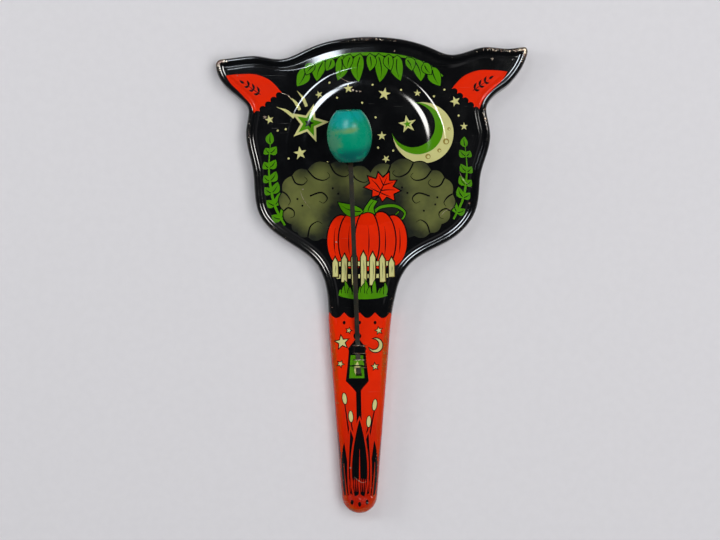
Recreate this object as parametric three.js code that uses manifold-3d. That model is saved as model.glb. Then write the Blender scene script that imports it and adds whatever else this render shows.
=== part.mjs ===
// A tin clacker noisemaker: one pressed sheet of tinplate, shaped as an eared head on a
// tapering handle, with a wooden ball on a flat spring strip that knocks on the head
// when the clacker is shaken.
//
// All sizes are in millimetres. The clacker lies on its back: +Z points out of its face,
// +Y from the handle towards the crown, and +X to the right. The outline is drawn round
// the middle of the sounding disc, and the finished model is moved so that its origin is
// the middle of its footprint, on the surface that it lies on.

import * as THREE from "three";
import { mergeVertices } from "three/addons/utils/BufferGeometryUtils.js";
import Module from "manifold-3d";

const wasm = await Module();
wasm.setup();

// Sheet
const sheetThickness = 0.35;
const hemWidth = 0.85; // the folded edge, two sheets thick
const hemHeight = 2.4;
const hemRound = 0.16;

// Rim, from the hem up: a drafted skirt, a raised bead, a groove, and a step up to the face
const skirtHeight = 6.5; // up to the middle of the bead's curve
const skirtDraft = 0.4; // how much wider the skirt is at its foot
const beadRadius = 1.5;
const beadSlope = 40; // degrees, on the bead's inner side
const grooveInset = 3.5; // from the outline to the near edge of the groove's floor
const grooveFloor = 0.4;
const grooveRadius = 0.8;
const stepSlope = 38; // degrees, from the groove up to the face
const stepShoulderRadius = 1.6;
const faceInset = 5.6; // from the outline to the edge of the face

// Over the crown the groove's floor is wider and the step is longer and gentler.
const crownX = 2.4;
const crownHalfWidth = 42; // where the border is back to its usual width
const crownFullHalfWidth = 20; // where it is still at its widest
const crownExtraFloor = 1.2;
const crownStepStretch = 1.65;

// Down the handle the skirt turns over into the face in one easy bend, with no bead or groove.
const handleBendRadius = 3.2;
const handleRimFrom = -70; // y where the head's rim starts to change
const handleRimTo = -90; // y where the handle's own rim is reached

// Sounding disc, raised in the middle of the head
const discFootRadius = 38.6;
const discSlope = 22; // degrees
const discFootRound = 3;
const discShoulderRound = 10;
const discRise = 3.2;

// Handle
const handleAxisX = -3.2; // the handle stands a little to the left of the disc's middle
const handleEndY = -176.6;
const handleEndRadius = 8.6;
const handleTopY = -87.8;
const handleTopHalfWidth = 14.9;

// Spring strip and the lanced straps that hold it
const stripWidth = 2.2;
const stripThickness = 0.5;
const stripMouthX = -4.1; // where the strip leaves the upper strap
const stripMouthY = -95.3;
const stripLean = 2.2; // degrees to the left, seen from the front
const stripBendRadius = 30;
const stripHook = 4.5; // length of the tail folded behind the sheet
const strapWidth = 6.8; // across the handle
const strapLength = 4.3; // along the handle
const strapRamp = 1; // how far each end of a strap takes to rise
const strapSpacing = 2.5; // sheet left between one strap and the next cut
const lanceGap = 0.2;
const seatClearance = 0.2; // strip to the sheet that it lies on
const slideClearance = 0.3; // strip to a strap above it, a slot's edge or the ball's bore

// Wooden ball
const ballDiameter = 21.1;
const ballLength = 24;
const ballCurveLength = 28; // of the oval that the turned sides follow
const ballEdgeRound = 0.5;
const ballReach = 98.9; // from the strap's mouth to the ball's middle, seen from the front
const ballGap = 3; // ball to disc at rest
const stripShortOfTop = 1.2; // the strip's end stays this far inside the ball's bore

// How finely curves are cut
const outlineStep = 8;
const outlineTurn = 17; // degrees
const sectionTurn = 29; // degrees
const discSides = 64;
const ballSides = 40;
const ballSideSteps = 18;
const hookSteps = 8;
const stripBendSteps = 4;

const radians = THREE.MathUtils.degToRad;

// The head's outline, anticlockwise from the right of the neck to the left of it. Each
// anchor is a place and the heading in which the outline passes it, in degrees from +X.
const headAnchors = {
  rightNeck: [15, -68.6, 76],
  rightThroat: [21.1, -56.9, 47],
  rightJaw: [40.1, -45.4, 31],
  rightJowl: [51.4, -34.1, 60],
  rightCheekWaist: [54.9, -16.5, 86],
  rightCheek: [59.9, 5, 90],
  rightEarRoot: [58, 16.8, 98],
  rightEarFoot: [62, 24.6, 43],
  rightEarSide: [69.5, 30.4, 47],
  rightEarUnderTip: [77.7, 44.4, 76],
  rightEarOverTip: [75.6, 48, 184],
  rightEarHollow: [68.2, 47.2, 180],
  rightEarCrest: [57.6, 48, 180],
  rightDip: [41.2, 44.3, 180],
  rightBrow: [30.4, 47.9, 158],
  crown: [2.4, 52.9, 180],
  leftBrow: [-28.6, 47, 205],
  leftDip: [-42, 42.2, 180],
  leftEarCrest: [-54, 43.7, 180],
  leftEarOverTip: [-69, 42.2, 184],
  leftEarUnderTip: [-72.6, 38.8, 275],
  leftEarSide: [-69.3, 30.3, 309],
  leftEarFoot: [-60.9, 22.6, 319],
  leftEarRoot: [-56.8, 16.6, 268],
  leftCheek: [-58.1, 6.2, 270],
  leftCheekWaist: [-54.4, -14.5, 275],
  leftJowl: [-51, -34, 299],
  leftJaw: [-38.9, -45.4, 326],
  leftThroat: [-24, -57, 305],
  leftNeck: [-19.4, -68.6, 281],
};

// The handle's sides taper evenly from the neck and touch its round end.
const handleEndCentreY = handleEndY + handleEndRadius;
const taperLength = handleTopY - handleEndCentreY;
const handleTaper =
  Math.atan2(handleTopHalfWidth, taperLength) -
  Math.asin(handleEndRadius / Math.hypot(handleTopHalfWidth, taperLength));

function handleSide(side) {
  const end = [
    handleAxisX + side * handleEndRadius * Math.cos(handleTaper),
    handleEndCentreY - handleEndRadius * Math.sin(handleTaper),
  ];
  const top = [handleAxisX + side * handleTopHalfWidth, handleTopY];
  return { end, top, lean: THREE.MathUtils.radToDeg(handleTaper) };
}

function outlineAnchors() {
  const right = handleSide(1);
  const left = handleSide(-1);
  return [
    [handleAxisX, handleEndY, 0],
    [...right.end, 90 - right.lean],
    [...right.top, 90 - right.lean],
    ...Object.values(headAnchors),
    [...left.top, 270 + left.lean],
    [...left.end, 270 + left.lean],
  ];
}

// One cubic curve between two anchors, whose handles make a true arc where it can be one.
function outlineCurve([x0, y0, heading0], [x1, y1, heading1]) {
  const chord = Math.hypot(x1 - x0, y1 - y0);
  const turn = Math.abs(radians(THREE.MathUtils.euclideanModulo(heading1 - heading0 + 180, 360) - 180));
  const share = turn < 0.01 ? 1 / 3 : ((2 / 3) * Math.tan(turn / 4)) / Math.sin(turn / 2);
  const reach = chord * share;
  const leaving = new THREE.Vector2(Math.cos(radians(heading0)), Math.sin(radians(heading0)));
  const arriving = new THREE.Vector2(Math.cos(radians(heading1)), Math.sin(radians(heading1)));
  const start = new THREE.Vector2(x0, y0);
  const end = new THREE.Vector2(x1, y1);
  return new THREE.CubicBezierCurve(
    start,
    start.clone().addScaledVector(leaving, reach),
    end.clone().addScaledVector(arriving, -reach),
    end,
  );
}

// The outline as points in order, each with the direction that points into the sheet.
function sampleOutline() {
  const anchors = outlineAnchors();
  const samples = [];
  anchors.forEach((anchor, n) => {
    const next = anchors[(n + 1) % anchors.length];
    const curve = outlineCurve(anchor, next);
    let turned = 0;
    for (let k = 0; k < 8; k++) {
      turned += curve.getTangent(k / 8).angleTo(curve.getTangent((k + 1) / 8));
    }
    const steps = Math.max(
      1,
      Math.ceil(curve.getLength() / outlineStep),
      Math.ceil(turned / radians(outlineTurn)),
    );
    for (let k = 0; k < steps; k++) {
      const share = k / steps;
      const place = curve.getPointAt(share);
      const along = curve.getTangentAt(share);
      samples.push({ index: samples.length, x: place.x, y: place.y, inX: -along.y, inY: along.x });
    }
  });
  return samples;
}

const outline = sampleOutline();

function distanceToOutline(x, y) {
  let least = Infinity;
  for (let n = 0; n < outline.length; n++) {
    const a = outline[n];
    const b = outline[(n + 1) % outline.length];
    const dx = b.x - a.x;
    const dy = b.y - a.y;
    const share = THREE.MathUtils.clamp(((x - a.x) * dx + (y - a.y) * dy) / (dx * dx + dy * dy), 0, 1);
    least = Math.min(least, Math.hypot(x - a.x - share * dx, y - a.y - share * dy));
  }
  return least;
}

// The distance from the outline, with what the crown's wide border adds past the groove.
function widenedInset(inset, { x, y }) {
  const fromCrown = Math.abs(x - crownX);
  const share = y < 0 ? 0 : 1 - THREE.MathUtils.smoothstep(fromCrown, crownFullHalfWidth, crownHalfWidth);
  const onFloor = THREE.MathUtils.clamp(inset - grooveInset, 0, grooveFloor);
  const pastFloor = Math.max(inset - grooveInset - grooveFloor, 0);
  return inset + share * ((crownExtraFloor * onFloor) / grooveFloor + (crownStepStretch - 1) * pastFloor);
}

// A loop that runs inside the outline at one distance from it. In a corner that is too
// tight for that distance, the points that would cross are left out.
const trimTolerance = 0.12;

function rimLoop([headInset, headZ], [handleInset, handleZ]) {
  return outline
    .map((sample) => {
      const share = 1 - THREE.MathUtils.smoothstep(sample.y, handleRimTo, handleRimFrom);
      const reach = THREE.MathUtils.lerp(widenedInset(headInset, sample), handleInset, share);
      return {
        index: sample.index,
        x: sample.x + sample.inX * reach,
        y: sample.y + sample.inY * reach,
        z: THREE.MathUtils.lerp(headZ, handleZ, share),
        reach,
      };
    })
    .filter((p) => p.reach < 0.5 || distanceToOutline(p.x, p.y) > p.reach - trimTolerance);
}

function insetLoop(inset, z) {
  return rimLoop([inset, z], [inset, z]);
}

function circleLoop(radius, z) {
  return Array.from({ length: discSides }, (_, index) => {
    const angle = (index / discSides) * 2 * Math.PI;
    return { index, x: radius * Math.cos(angle), y: radius * Math.sin(angle), z };
  });
}

// Triangles between two loops that run the same way, matched by their points' indices.
function addBand(triangles, from, to) {
  let a = 0;
  let b = 0;
  while (a < from.length || b < to.length) {
    const nextA = a + 1 < from.length ? from[a + 1].index : Infinity;
    const nextB = b + 1 < to.length ? to[b + 1].index : Infinity;
    const stepFrom = a < from.length && (b >= to.length || nextA <= nextB);
    const here = from[a % from.length];
    const there = to[b % to.length];
    if (stepFrom) {
      triangles.push(here, from[(a + 1) % from.length], there);
      a++;
    } else {
      triangles.push(here, to[(b + 1) % to.length], there);
      b++;
    }
  }
}

// A flat area inside a loop, with or without a round hole, facing up or down.
function addFlat(triangles, loop, holes, facesUp) {
  const rings = [loop, ...holes].map((ring) => ring.map((p) => new THREE.Vector2(p.x, p.y)));
  const points = [loop, ...holes].flat();
  for (const face of THREE.ShapeUtils.triangulateShape(rings[0], rings.slice(1))) {
    const [a, b, c] = face.map((n) => points[n]);
    const turn = (b.x - a.x) * (c.y - a.y) - (b.y - a.y) * (c.x - a.x);
    triangles.push(...(turn > 0 === facesUp ? [a, b, c] : [a, c, b]));
  }
}

function geometryOf(triangles) {
  const positions = new Float32Array(triangles.flatMap(({ x, y, z }) => [x, y, z]));
  return new THREE.BufferGeometry().setAttribute("position", new THREE.BufferAttribute(positions, 3));
}

function bendSteps(turn) {
  return Math.max(2, Math.ceil(Math.abs(turn) / sectionTurn));
}

// Points along a round bend of a section. Tilts are in degrees from the horizontal.
function bend(centreIn, centreZ, radius, fromTilt, toTilt, steps = bendSteps(toTilt - fromTilt)) {
  return Array.from({ length: steps + 1 }, (_, n) => {
    const tilt = radians(fromTilt + ((toTilt - fromTilt) * n) / steps);
    return [centreIn - radius * Math.sin(tilt), centreZ + radius * Math.cos(tilt)];
  });
}

// The rim's outer side as [inset, height], from the top of the hem's edge to the face.
const beadInset = skirtDraft + beadRadius;
const beadTop = skirtHeight + beadRadius;
const grooveZ = beadTop - heightAlong(grooveInset - beadInset, beadRadius + grooveRadius, beadSlope);
const stepRun = faceInset - grooveInset - grooveFloor;
const faceZ = grooveZ + heightAlong(stepRun, grooveRadius + stepShoulderRadius, stepSlope);

// The height between two level stretches that a straight slope joins with a bend at each end.
function heightAlong(run, bendRadii, slope) {
  const straight = run - bendRadii * Math.sin(radians(slope));
  return bendRadii * (1 - Math.cos(radians(slope))) + straight * Math.tan(radians(slope));
}

const beadSection = bend(beadInset, skirtHeight, beadRadius, 86, -beadSlope);
const rimSection = [
  ...beadSection,
  ...bend(grooveInset, grooveZ + grooveRadius, -grooveRadius, -beadSlope, 0),
  ...bend(grooveInset + grooveFloor, grooveZ + grooveRadius, -grooveRadius, 0, stepSlope),
  ...bend(faceInset, faceZ - stepShoulderRadius, stepShoulderRadius, stepSlope, 0),
];

// The handle's rim has a point for each of the head's: a bend for the bead's, then level ones.
const handleFaceInset = skirtDraft + handleBendRadius;
const levelPoints = rimSection.length - beadSection.length;
const handleRimSection = [
  ...bend(handleFaceInset, faceZ - handleBendRadius, handleBendRadius, 86, 0, beadSection.length - 1),
  ...Array.from({ length: levelPoints }, (_, n) => [
    THREE.MathUtils.lerp(handleFaceInset, faceInset, (n + 1) / levelPoints),
    faceZ,
  ]),
];

// The disc's outer side as [distance from its middle, height], from its foot inwards.
const discTop = faceZ + discRise;
const discSlopeRun =
  (discRise - (discFootRound + discShoulderRound) * (1 - Math.cos(radians(discSlope)))) /
  Math.tan(radians(discSlope));
const discFlatRadius =
  discFootRadius - discSlopeRun - (discFootRound + discShoulderRound) * Math.sin(radians(discSlope));

const discSection = [
  ...bend(-discFootRadius, faceZ + discFootRound, -discFootRound, 0, discSlope),
  ...bend(-discFlatRadius, discTop - discShoulderRound, discShoulderRound, discSlope, 0),
].map(([inwards, z]) => [-inwards, z]);

// A section moved square to itself by the sheet's thickness, to its inner side.
function innerSide(section, inwardSign) {
  return section.map(([u, z], n) => {
    const [u0, z0] = section[Math.max(0, n - 1)];
    const [u1, z1] = section[Math.min(section.length - 1, n + 1)];
    const flat = n === 0 && inwardSign < 0 ? 0 : n === section.length - 1 ? 0 : z1 - z0;
    const run = Math.abs(u1 - u0);
    const length = Math.hypot(run, flat) || 1;
    return [u + (inwardSign * sheetThickness * flat) / length, z - (sheetThickness * run) / length];
  });
}

function pressedSheet() {
  const handleInner = innerSide(handleRimSection, 1);
  const outer = rimSection.map((onHead, n) => rimLoop(onHead, handleRimSection[n]));
  const inner = innerSide(rimSection, 1).map((onHead, n) => rimLoop(onHead, handleInner[n]));
  const draftAt = (z) => (skirtDraft * z) / skirtHeight;
  const hemFoot = [insetLoop(hemRound, 0), insetLoop(0, hemRound)];
  const hemInside = [
    insetLoop(sheetThickness + draftAt(hemHeight), hemHeight),
    insetLoop(hemWidth + draftAt(hemHeight), hemHeight),
    insetLoop(hemWidth, hemRound),
    insetLoop(hemWidth - hemRound, 0),
  ];
  const triangles = [];
  const rings = [...hemFoot, ...outer];
  rings.slice(1).forEach((ring, n) => addBand(triangles, rings[n], ring));

  const discOuter = discSection.map(([radius, z]) => circleLoop(radius, z));
  const discInner = innerSide(discSection, -1).map(([radius, z]) => circleLoop(radius, z));
  addFlat(triangles, outer.at(-1), [discOuter[0]], true);
  discOuter.slice(1).forEach((ring, n) => addBand(triangles, discOuter[n], ring));
  addFlat(triangles, discOuter.at(-1), [], true);

  addFlat(triangles, discInner.at(-1), [], false);
  discInner.slice(1).forEach((ring, n) => addBand(triangles, ring, discInner[n]));
  addFlat(triangles, inner.at(-1), [discInner[0]], false);
  const back = [...inner.reverse(), ...hemInside, hemFoot[0]];
  back.slice(1).forEach((ring, n) => addBand(triangles, back[n], ring));
  return geometryOf(triangles);
}

// A closed geometry as a solid for joining and cutting, and back.
function solidOf(geometry) {
  const bare = (geometry.index ? geometry.toNonIndexed() : geometry).clone();
  bare.deleteAttribute("normal");
  bare.deleteAttribute("uv");
  const merged = mergeVertices(bare, 1e-3);
  return new wasm.Manifold(
    new wasm.Mesh({
      numProp: 3,
      vertProperties: merged.attributes.position.array,
      triVerts: new Uint32Array(merged.index.array),
    }),
  );
}

function geometryFrom(solid) {
  const mesh = solid.getMesh();
  const geometry = new THREE.BufferGeometry();
  geometry.setAttribute("position", new THREE.BufferAttribute(mesh.vertProperties, 3));
  geometry.setIndex(new THREE.BufferAttribute(mesh.triVerts, 1));
  return geometry;
}

function boxSolid(x0, x1, y0, y1, z0, z1) {
  const box = new THREE.BoxGeometry(x1 - x0, y1 - y0, z1 - z0);
  box.translate((x0 + x1) / 2, (y0 + y1) / 2, (z0 + z1) / 2);
  return solidOf(box);
}

// Each strap is a band of the sheet, cut along two sides and pressed up over the strip.
const strapInnerRise = seatClearance + stripThickness + slideClearance;
const strapStarts = [stripMouthY - strapLength, stripMouthY - 2 * strapLength - strapSpacing];
const slotY = strapStarts[1] - strapSpacing;

function strapGeometry(startY) {
  const half = strapWidth / 2;
  const ramp = [0, 0.2, 0.4, 0.6, 0.8, 1].map((share) => [
    -half + share * strapRamp,
    (strapInnerRise + sheetThickness) * THREE.MathUtils.smoothstep(share, 0, 1),
  ]);
  const rise = [...ramp, ...ramp.map(([x, z]) => [-x, z]).reverse()];
  const rootOverlap = 0.3;
  const upper = [[-half - rootOverlap, 0], ...rise, [half + rootOverlap, 0]];
  const lower = upper.map(([x, z]) => [x, z - sheetThickness]).reverse();
  const shape = new THREE.Shape([...upper, ...lower].map(([x, z]) => new THREE.Vector2(x, z)));
  const strap = new THREE.ExtrudeGeometry(shape, {
    depth: strapLength - 2 * lanceGap,
    bevelEnabled: false,
  });
  strap.rotateX(Math.PI / 2);
  strap.translate(handleAxisX, startY + strapLength - lanceGap, faceZ);
  return strap;
}

// How far along the strip, measured from its mouth, a point of the handle lies.
const slotAlong = (slotY - stripMouthY) / Math.cos(radians(stripLean));

function tinBody() {
  const below = faceZ - 2 * sheetThickness;
  const above = faceZ + sheetThickness;
  let body = solidOf(pressedSheet());
  for (const startY of strapStarts) {
    const half = strapWidth / 2;
    const window = boxSolid(handleAxisX - half, handleAxisX + half, startY, startY + strapLength, below, above);
    body = body.subtract(window).add(solidOf(strapGeometry(startY)));
  }
  const slotX = stripMouthX - slotAlong * Math.sin(radians(stripLean));
  const slotHalfWidth = stripWidth / 2 + slideClearance;
  const slotDepth = stripHookRadius + stripThickness / 2 + slideClearance;
  const slot = boxSolid(
    slotX - slotHalfWidth,
    slotX + slotHalfWidth,
    slotY - slotDepth,
    slotY + seatClearance,
    below,
    above,
  );
  return geometryFrom(body.subtract(slot));
}

// The strip's middle line, seen from the side: how far along it lies, and how high.
const stripZ = faceZ + seatClearance + stripThickness / 2;
const tailZ = faceZ - sheetThickness - slideClearance - stripThickness / 2;
const stripHookRadius = (stripZ - tailZ) / 2;
const ballZ = discTop + ballGap + ballDiameter / 2;
const toBall = [ballReach, ballZ - stripZ - stripBendRadius];
const stripPitch = Math.atan2(toBall[1], toBall[0]) + Math.asin(stripBendRadius / Math.hypot(...toBall));

function stripLine() {
  const hook = Array.from({ length: hookSteps + 1 }, (_, n) => {
    const angle = -Math.PI / 2 - (n / hookSteps) * Math.PI;
    return [
      slotAlong + stripHookRadius * Math.cos(angle),
      (stripZ + tailZ) / 2 + stripHookRadius * Math.sin(angle),
    ];
  });
  const rise = Array.from({ length: stripBendSteps + 1 }, (_, n) => {
    const angle = (n / stripBendSteps) * stripPitch;
    return [stripBendRadius * Math.sin(angle), stripZ + stripBendRadius * (1 - Math.cos(angle))];
  });
  const insideBall = ballLength / 2 - stripShortOfTop;
  const tip = [
    ballReach + insideBall * Math.cos(stripPitch),
    ballZ + insideBall * Math.sin(stripPitch),
  ];
  return [[slotAlong + stripHook, tailZ], ...hook, ...rise, tip];
}

function ribbonShape(line, thickness) {
  const sides = [1, -1].map((side) =>
    line.map(([s, z], n) => {
      const [s0, z0] = line[Math.max(0, n - 1)];
      const [s1, z1] = line[Math.min(line.length - 1, n + 1)];
      const length = Math.hypot(s1 - s0, z1 - z0);
      const shift = (side * thickness) / 2 / length;
      return new THREE.Vector2(s - (z1 - z0) * shift, z + (s1 - s0) * shift);
    }),
  );
  return new THREE.Shape([...sides[0], ...sides[1].reverse()]);
}

// The strip is drawn from the side and pushed out to its width. Its length then runs along
// +Y, and it is turned to its lean about the strap's mouth.
function stripGeometry() {
  const strip = new THREE.ExtrudeGeometry(ribbonShape(stripLine(), stripThickness), {
    depth: stripWidth,
    bevelEnabled: false,
  });
  strip.translate(0, 0, -stripWidth / 2);
  strip.applyMatrix4(
    new THREE.Matrix4().makeBasis(
      new THREE.Vector3(0, 1, 0),
      new THREE.Vector3(0, 0, 1),
      new THREE.Vector3(1, 0, 0),
    ),
  );
  strip.rotateZ(radians(stripLean));
  strip.translate(stripMouthX, stripMouthY, 0);
  return strip;
}

// The ball is turned on the strip's line: an oval with both ends cut flat, drilled through.
function ballGeometry() {
  const half = ballLength / 2;
  const boreRadius = Math.hypot(stripWidth, stripThickness) / 2 + slideClearance;
  const endAngle = Math.asin((half - ballEdgeRound) / (ballCurveLength / 2));
  const side = Array.from({ length: ballSideSteps + 1 }, (_, n) => {
    const angle = -endAngle + (n / ballSideSteps) * 2 * endAngle;
    return new THREE.Vector2((ballDiameter / 2) * Math.cos(angle), (ballCurveLength / 2) * Math.sin(angle));
  });
  const endFlat = side[0].x - ballEdgeRound;
  const profile = [
    new THREE.Vector2(boreRadius, -half),
    new THREE.Vector2(endFlat, -half),
    ...side,
    new THREE.Vector2(endFlat, half),
    new THREE.Vector2(boreRadius, half),
    new THREE.Vector2(boreRadius, -half),
  ];
  return new THREE.LatheGeometry(profile, ballSides);
}

function placeBall(ball) {
  const lean = radians(stripLean);
  const level = new THREE.Vector3(-Math.sin(lean), Math.cos(lean), 0);
  const along = level.clone().multiplyScalar(Math.cos(stripPitch));
  along.z = Math.sin(stripPitch);
  ball.quaternion.setFromUnitVectors(new THREE.Vector3(0, 1, 0), along);
  ball.position.set(stripMouthX, stripMouthY, ballZ).addScaledVector(level, ballReach);
}

const enamelledTin = new THREE.MeshStandardMaterial({ color: 0x14161a, roughness: 0.22, metalness: 0.1 });
const springSteel = new THREE.MeshStandardMaterial({ color: 0x4a423c, roughness: 0.5, metalness: 0.85 });
const paintedWood = new THREE.MeshStandardMaterial({ color: 0x0a8f80, roughness: 0.4, metalness: 0 });

function piece(name, geometry, material) {
  const mesh = new THREE.Mesh(geometry, material);
  mesh.name = name;
  return mesh;
}

const clacker = new THREE.Group();
const ball = piece("wooden_ball", ballGeometry(), paintedWood);
placeBall(ball);
clacker.add(piece("tin_body", tinBody(), enamelledTin), piece("spring_strip", stripGeometry(), springSteel), ball);

const footprint = new THREE.Box3().setFromObject(clacker);
const middle = footprint.getCenter(new THREE.Vector3());
clacker.position.set(-middle.x, -middle.y, -footprint.min.z);

export default clacker;
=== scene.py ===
"""An old printed-tin clacker: a pressed, eared pan on a channel handle, and a wooden ball on a spring."""
import logging
import math
from dataclasses import dataclass, field
from enum import Enum

import bpy
import numpy as np
from mathutils import Matrix, Vector
from mathutils.geometry import delaunay_2d_cdt
from mathutils.kdtree import KDTree


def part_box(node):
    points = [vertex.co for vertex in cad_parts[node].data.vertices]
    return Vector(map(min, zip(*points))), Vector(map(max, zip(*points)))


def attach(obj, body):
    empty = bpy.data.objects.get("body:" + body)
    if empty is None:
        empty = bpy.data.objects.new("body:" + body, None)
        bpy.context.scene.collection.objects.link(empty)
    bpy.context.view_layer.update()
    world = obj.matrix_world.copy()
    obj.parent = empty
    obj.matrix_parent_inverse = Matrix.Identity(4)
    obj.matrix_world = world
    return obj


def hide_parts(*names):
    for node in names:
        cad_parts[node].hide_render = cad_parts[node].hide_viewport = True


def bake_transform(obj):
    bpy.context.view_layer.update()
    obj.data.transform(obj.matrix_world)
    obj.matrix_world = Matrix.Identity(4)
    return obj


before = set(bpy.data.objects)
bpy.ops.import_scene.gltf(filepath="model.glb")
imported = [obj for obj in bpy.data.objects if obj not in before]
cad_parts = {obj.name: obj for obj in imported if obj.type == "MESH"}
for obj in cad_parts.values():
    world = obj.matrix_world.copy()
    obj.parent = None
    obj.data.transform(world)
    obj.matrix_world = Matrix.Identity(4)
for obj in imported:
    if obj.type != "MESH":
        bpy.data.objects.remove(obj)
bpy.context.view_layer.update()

log = logging.getLogger("clacker")

MM = 0.001

Spot = tuple[float, float]


class Body(Enum):
    """The bodies of the model that a piece can ride on."""

    PAN = "pan"
    CLAPPER = "clapper"


class Ink(Enum):
    """What covers a spot of the sheet: one of the printer's inks, or the bare metal."""

    BLACK = 0
    ORANGE = 1
    GREEN = 2
    CREAM = 3
    SMOKE = 4
    OCHRE = 5
    CHIPPED = 6
    BACK = 7


# Drawing in the plane


def between(low: float, high: float, value: np.ndarray) -> np.ndarray:
    """Rise smoothly from 0 at low to 1 at high.

    Args:
        low: Where the rise starts.
        high: Where it ends; it may be less than low.
        value: The values to grade.

    Returns:
        The share of the rise at each value.
    """
    share = np.clip((value - low) / (high - low), 0, 1)
    return share * share * (3 - 2 * share)


def fading(places: np.ndarray, middle: tuple[float, float], reach: float) -> np.ndarray:
    """Fade from 1 at a middle towards 0 beyond its reach."""
    return np.exp(-((places - middle) ** 2).sum(1) / reach**2)


def unit(rows: np.ndarray) -> np.ndarray:
    """Give every row the length 1."""
    return rows / np.maximum(np.linalg.norm(rows, axis=1), 1e-9)[:, None]


def squared(rows: np.ndarray) -> np.ndarray:
    """Turn every row a quarter anticlockwise."""
    return np.stack([-rows[:, 1], rows[:, 0]], axis=1)


def circle(count: int) -> np.ndarray:
    """Place points evenly round a circle of radius 1."""
    angle = np.arange(count) * 2 * math.pi / count
    return np.stack([np.cos(angle), np.sin(angle)], axis=1)


def heading(degrees: float) -> np.ndarray:
    """Point in a direction of the plan."""
    return np.array([math.cos(math.radians(degrees)), math.sin(math.radians(degrees))])


def turned(points: np.ndarray, degrees: float) -> np.ndarray:
    """Turn points anticlockwise about the origin."""
    angle = math.radians(degrees)
    return points @ np.array([[math.cos(angle), math.sin(angle)], [-math.sin(angle), math.cos(angle)]])


def flowing(points: list[Spot], closed: bool, spacing: float = 0.7) -> np.ndarray:
    """Draw a smooth line through points; a point given twice is a corner.

    Args:
        points: The points that the line passes, in mm.
        closed: Whether it returns to its first point.
        spacing: About how far apart its own points are.

    Returns:
        The line's points.
    """
    p = np.array(points, dtype=float)
    n = len(p)
    out: list[np.ndarray] = []
    for k in range(n if closed else n - 1):
        if closed:
            a, b, c, d = p[(k - 1) % n], p[k], p[(k + 1) % n], p[(k + 2) % n]
        else:
            a, b, c, d = p[max(k - 1, 0)], p[k], p[k + 1], p[min(k + 2, n - 1)]
        length = float(np.linalg.norm(c - b))
        if length < 1e-6:
            continue
        steps = max(1, math.ceil(length / spacing))
        share = (np.arange(steps) / steps)[:, None]
        leave, arrive = (c - a) / 2, (d - b) / 2
        out.append(
            (2 * share**3 - 3 * share**2 + 1) * b
            + (share**3 - 2 * share**2 + share) * leave
            + (3 * share**2 - 2 * share**3) * c
            + (share**3 - share**2) * arrive
        )
    if not closed:
        out.append(p[-1:])
    return np.concatenate(out)


def oval(x: float, y: float, across: float, high: float, lean: float = 0) -> np.ndarray:
    """Draw an oval by its middle, its half sizes and its lean in degrees."""
    fewest, spacing = 14, 0.75
    count = max(fewest, math.ceil(2 * math.pi * max(across, high) / spacing))
    return turned(circle(count) * (across, high), lean) + (x, y)


def star(x: float, y: float, reach: float, lean: float = 0, waist: float = 0.42) -> np.ndarray:
    """Draw a five-pointed star by its middle, its reach, its lean and how narrow its waist is."""
    points = 5
    angle = np.arange(2 * points) * math.pi / points + math.pi / 2
    radius = np.where(np.arange(2 * points) % 2 == 0, reach, reach * waist)
    return turned(np.stack([radius * np.cos(angle), radius * np.sin(angle)], axis=1), lean) + (x, y)


def crescent(x: float, y: float, radius: float, lean: float = 0) -> np.ndarray:
    """Draw a crescent by the middle and radius of its outer curve and its lean in degrees."""
    tip, shift = math.radians(130), 0.3
    hollow = math.hypot(shift + math.cos(tip), math.sin(tip))
    reach = math.atan2(math.sin(tip), shift + math.cos(tip))
    outer = np.exp(1j * np.linspace(-tip, tip, 24))
    inner = hollow * np.exp(1j * np.linspace(reach, -reach, 18)[1:-1]) - shift
    arc = np.concatenate([outer, inner])
    return turned(radius * np.stack([arc.real, arc.imag], axis=1), lean) + (x, y)


def brush(points: list[Spot], width: float, start: float = 0.15, end: float = 0.1) -> np.ndarray:
    """Draw one brush stroke that swells and thins out.

    Args:
        points: The points that the middle of the stroke passes.
        width: Its widest, in mm.
        start: How wide it starts, as a share of its widest.
        end: How wide it ends, as a share of its widest.

    Returns:
        The stroke's edge.
    """
    widest_at = 0.35
    line = flowing(points, False, 0.8)
    square = squared(unit(np.gradient(line, axis=0)))
    share = np.linspace(0, 1, len(line))
    swelling = start + (1 - start) * between(0, widest_at, share)
    thinning = end + (1 - end) * between(1, widest_at, share)
    half = (width / 2 * np.where(share < widest_at, swelling, thinning))[:, None]
    return np.concatenate([line + square * half, (line - square * half)[::-1]])


def bowed(start: Spot, end: Spot, share: np.ndarray, bow: float) -> np.ndarray:
    """Draw a line that bows to the left of the way from its start to its end.

    Args:
        start: Its first point.
        end: Its last point.
        share: How far along the way each of its points lies, from 0 to 1.
        bow: How far its middle bows, as a share of its length.

    Returns:
        The line's points.
    """
    first = np.array(start)
    run = np.array(end) - first
    side, share = np.array([-run[1], run[0]]), share[:, None]
    return first + run * share + side * bow * 4 * share * (1 - share)


def leaf(base: Spot, tip: Spot, width: float, bow: float = 0.12) -> np.ndarray:
    """Draw a pointed leaf from its base to its tip, bowed to one side.

    Args:
        base: Where its stalk meets it.
        tip: Its point.
        width: Its widest, in mm.
        bow: How far its middle line bows, as a share of its length.

    Returns:
        The leaf's edge.
    """
    fewest, spacing = 7, 0.9
    run = np.array(tip) - np.array(base)
    side = np.array([-run[1], run[0]])
    share = np.linspace(0, 1, max(fewest, math.ceil(float(np.linalg.norm(run)) / spacing)))
    middle = bowed(base, tip, share, bow)
    reach = side / np.linalg.norm(side) * (width / 2 * np.sin(math.pi * share**0.8) ** 0.85)[:, None]
    return np.concatenate([middle + reach, (middle - reach)[-2:0:-1]])


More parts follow.
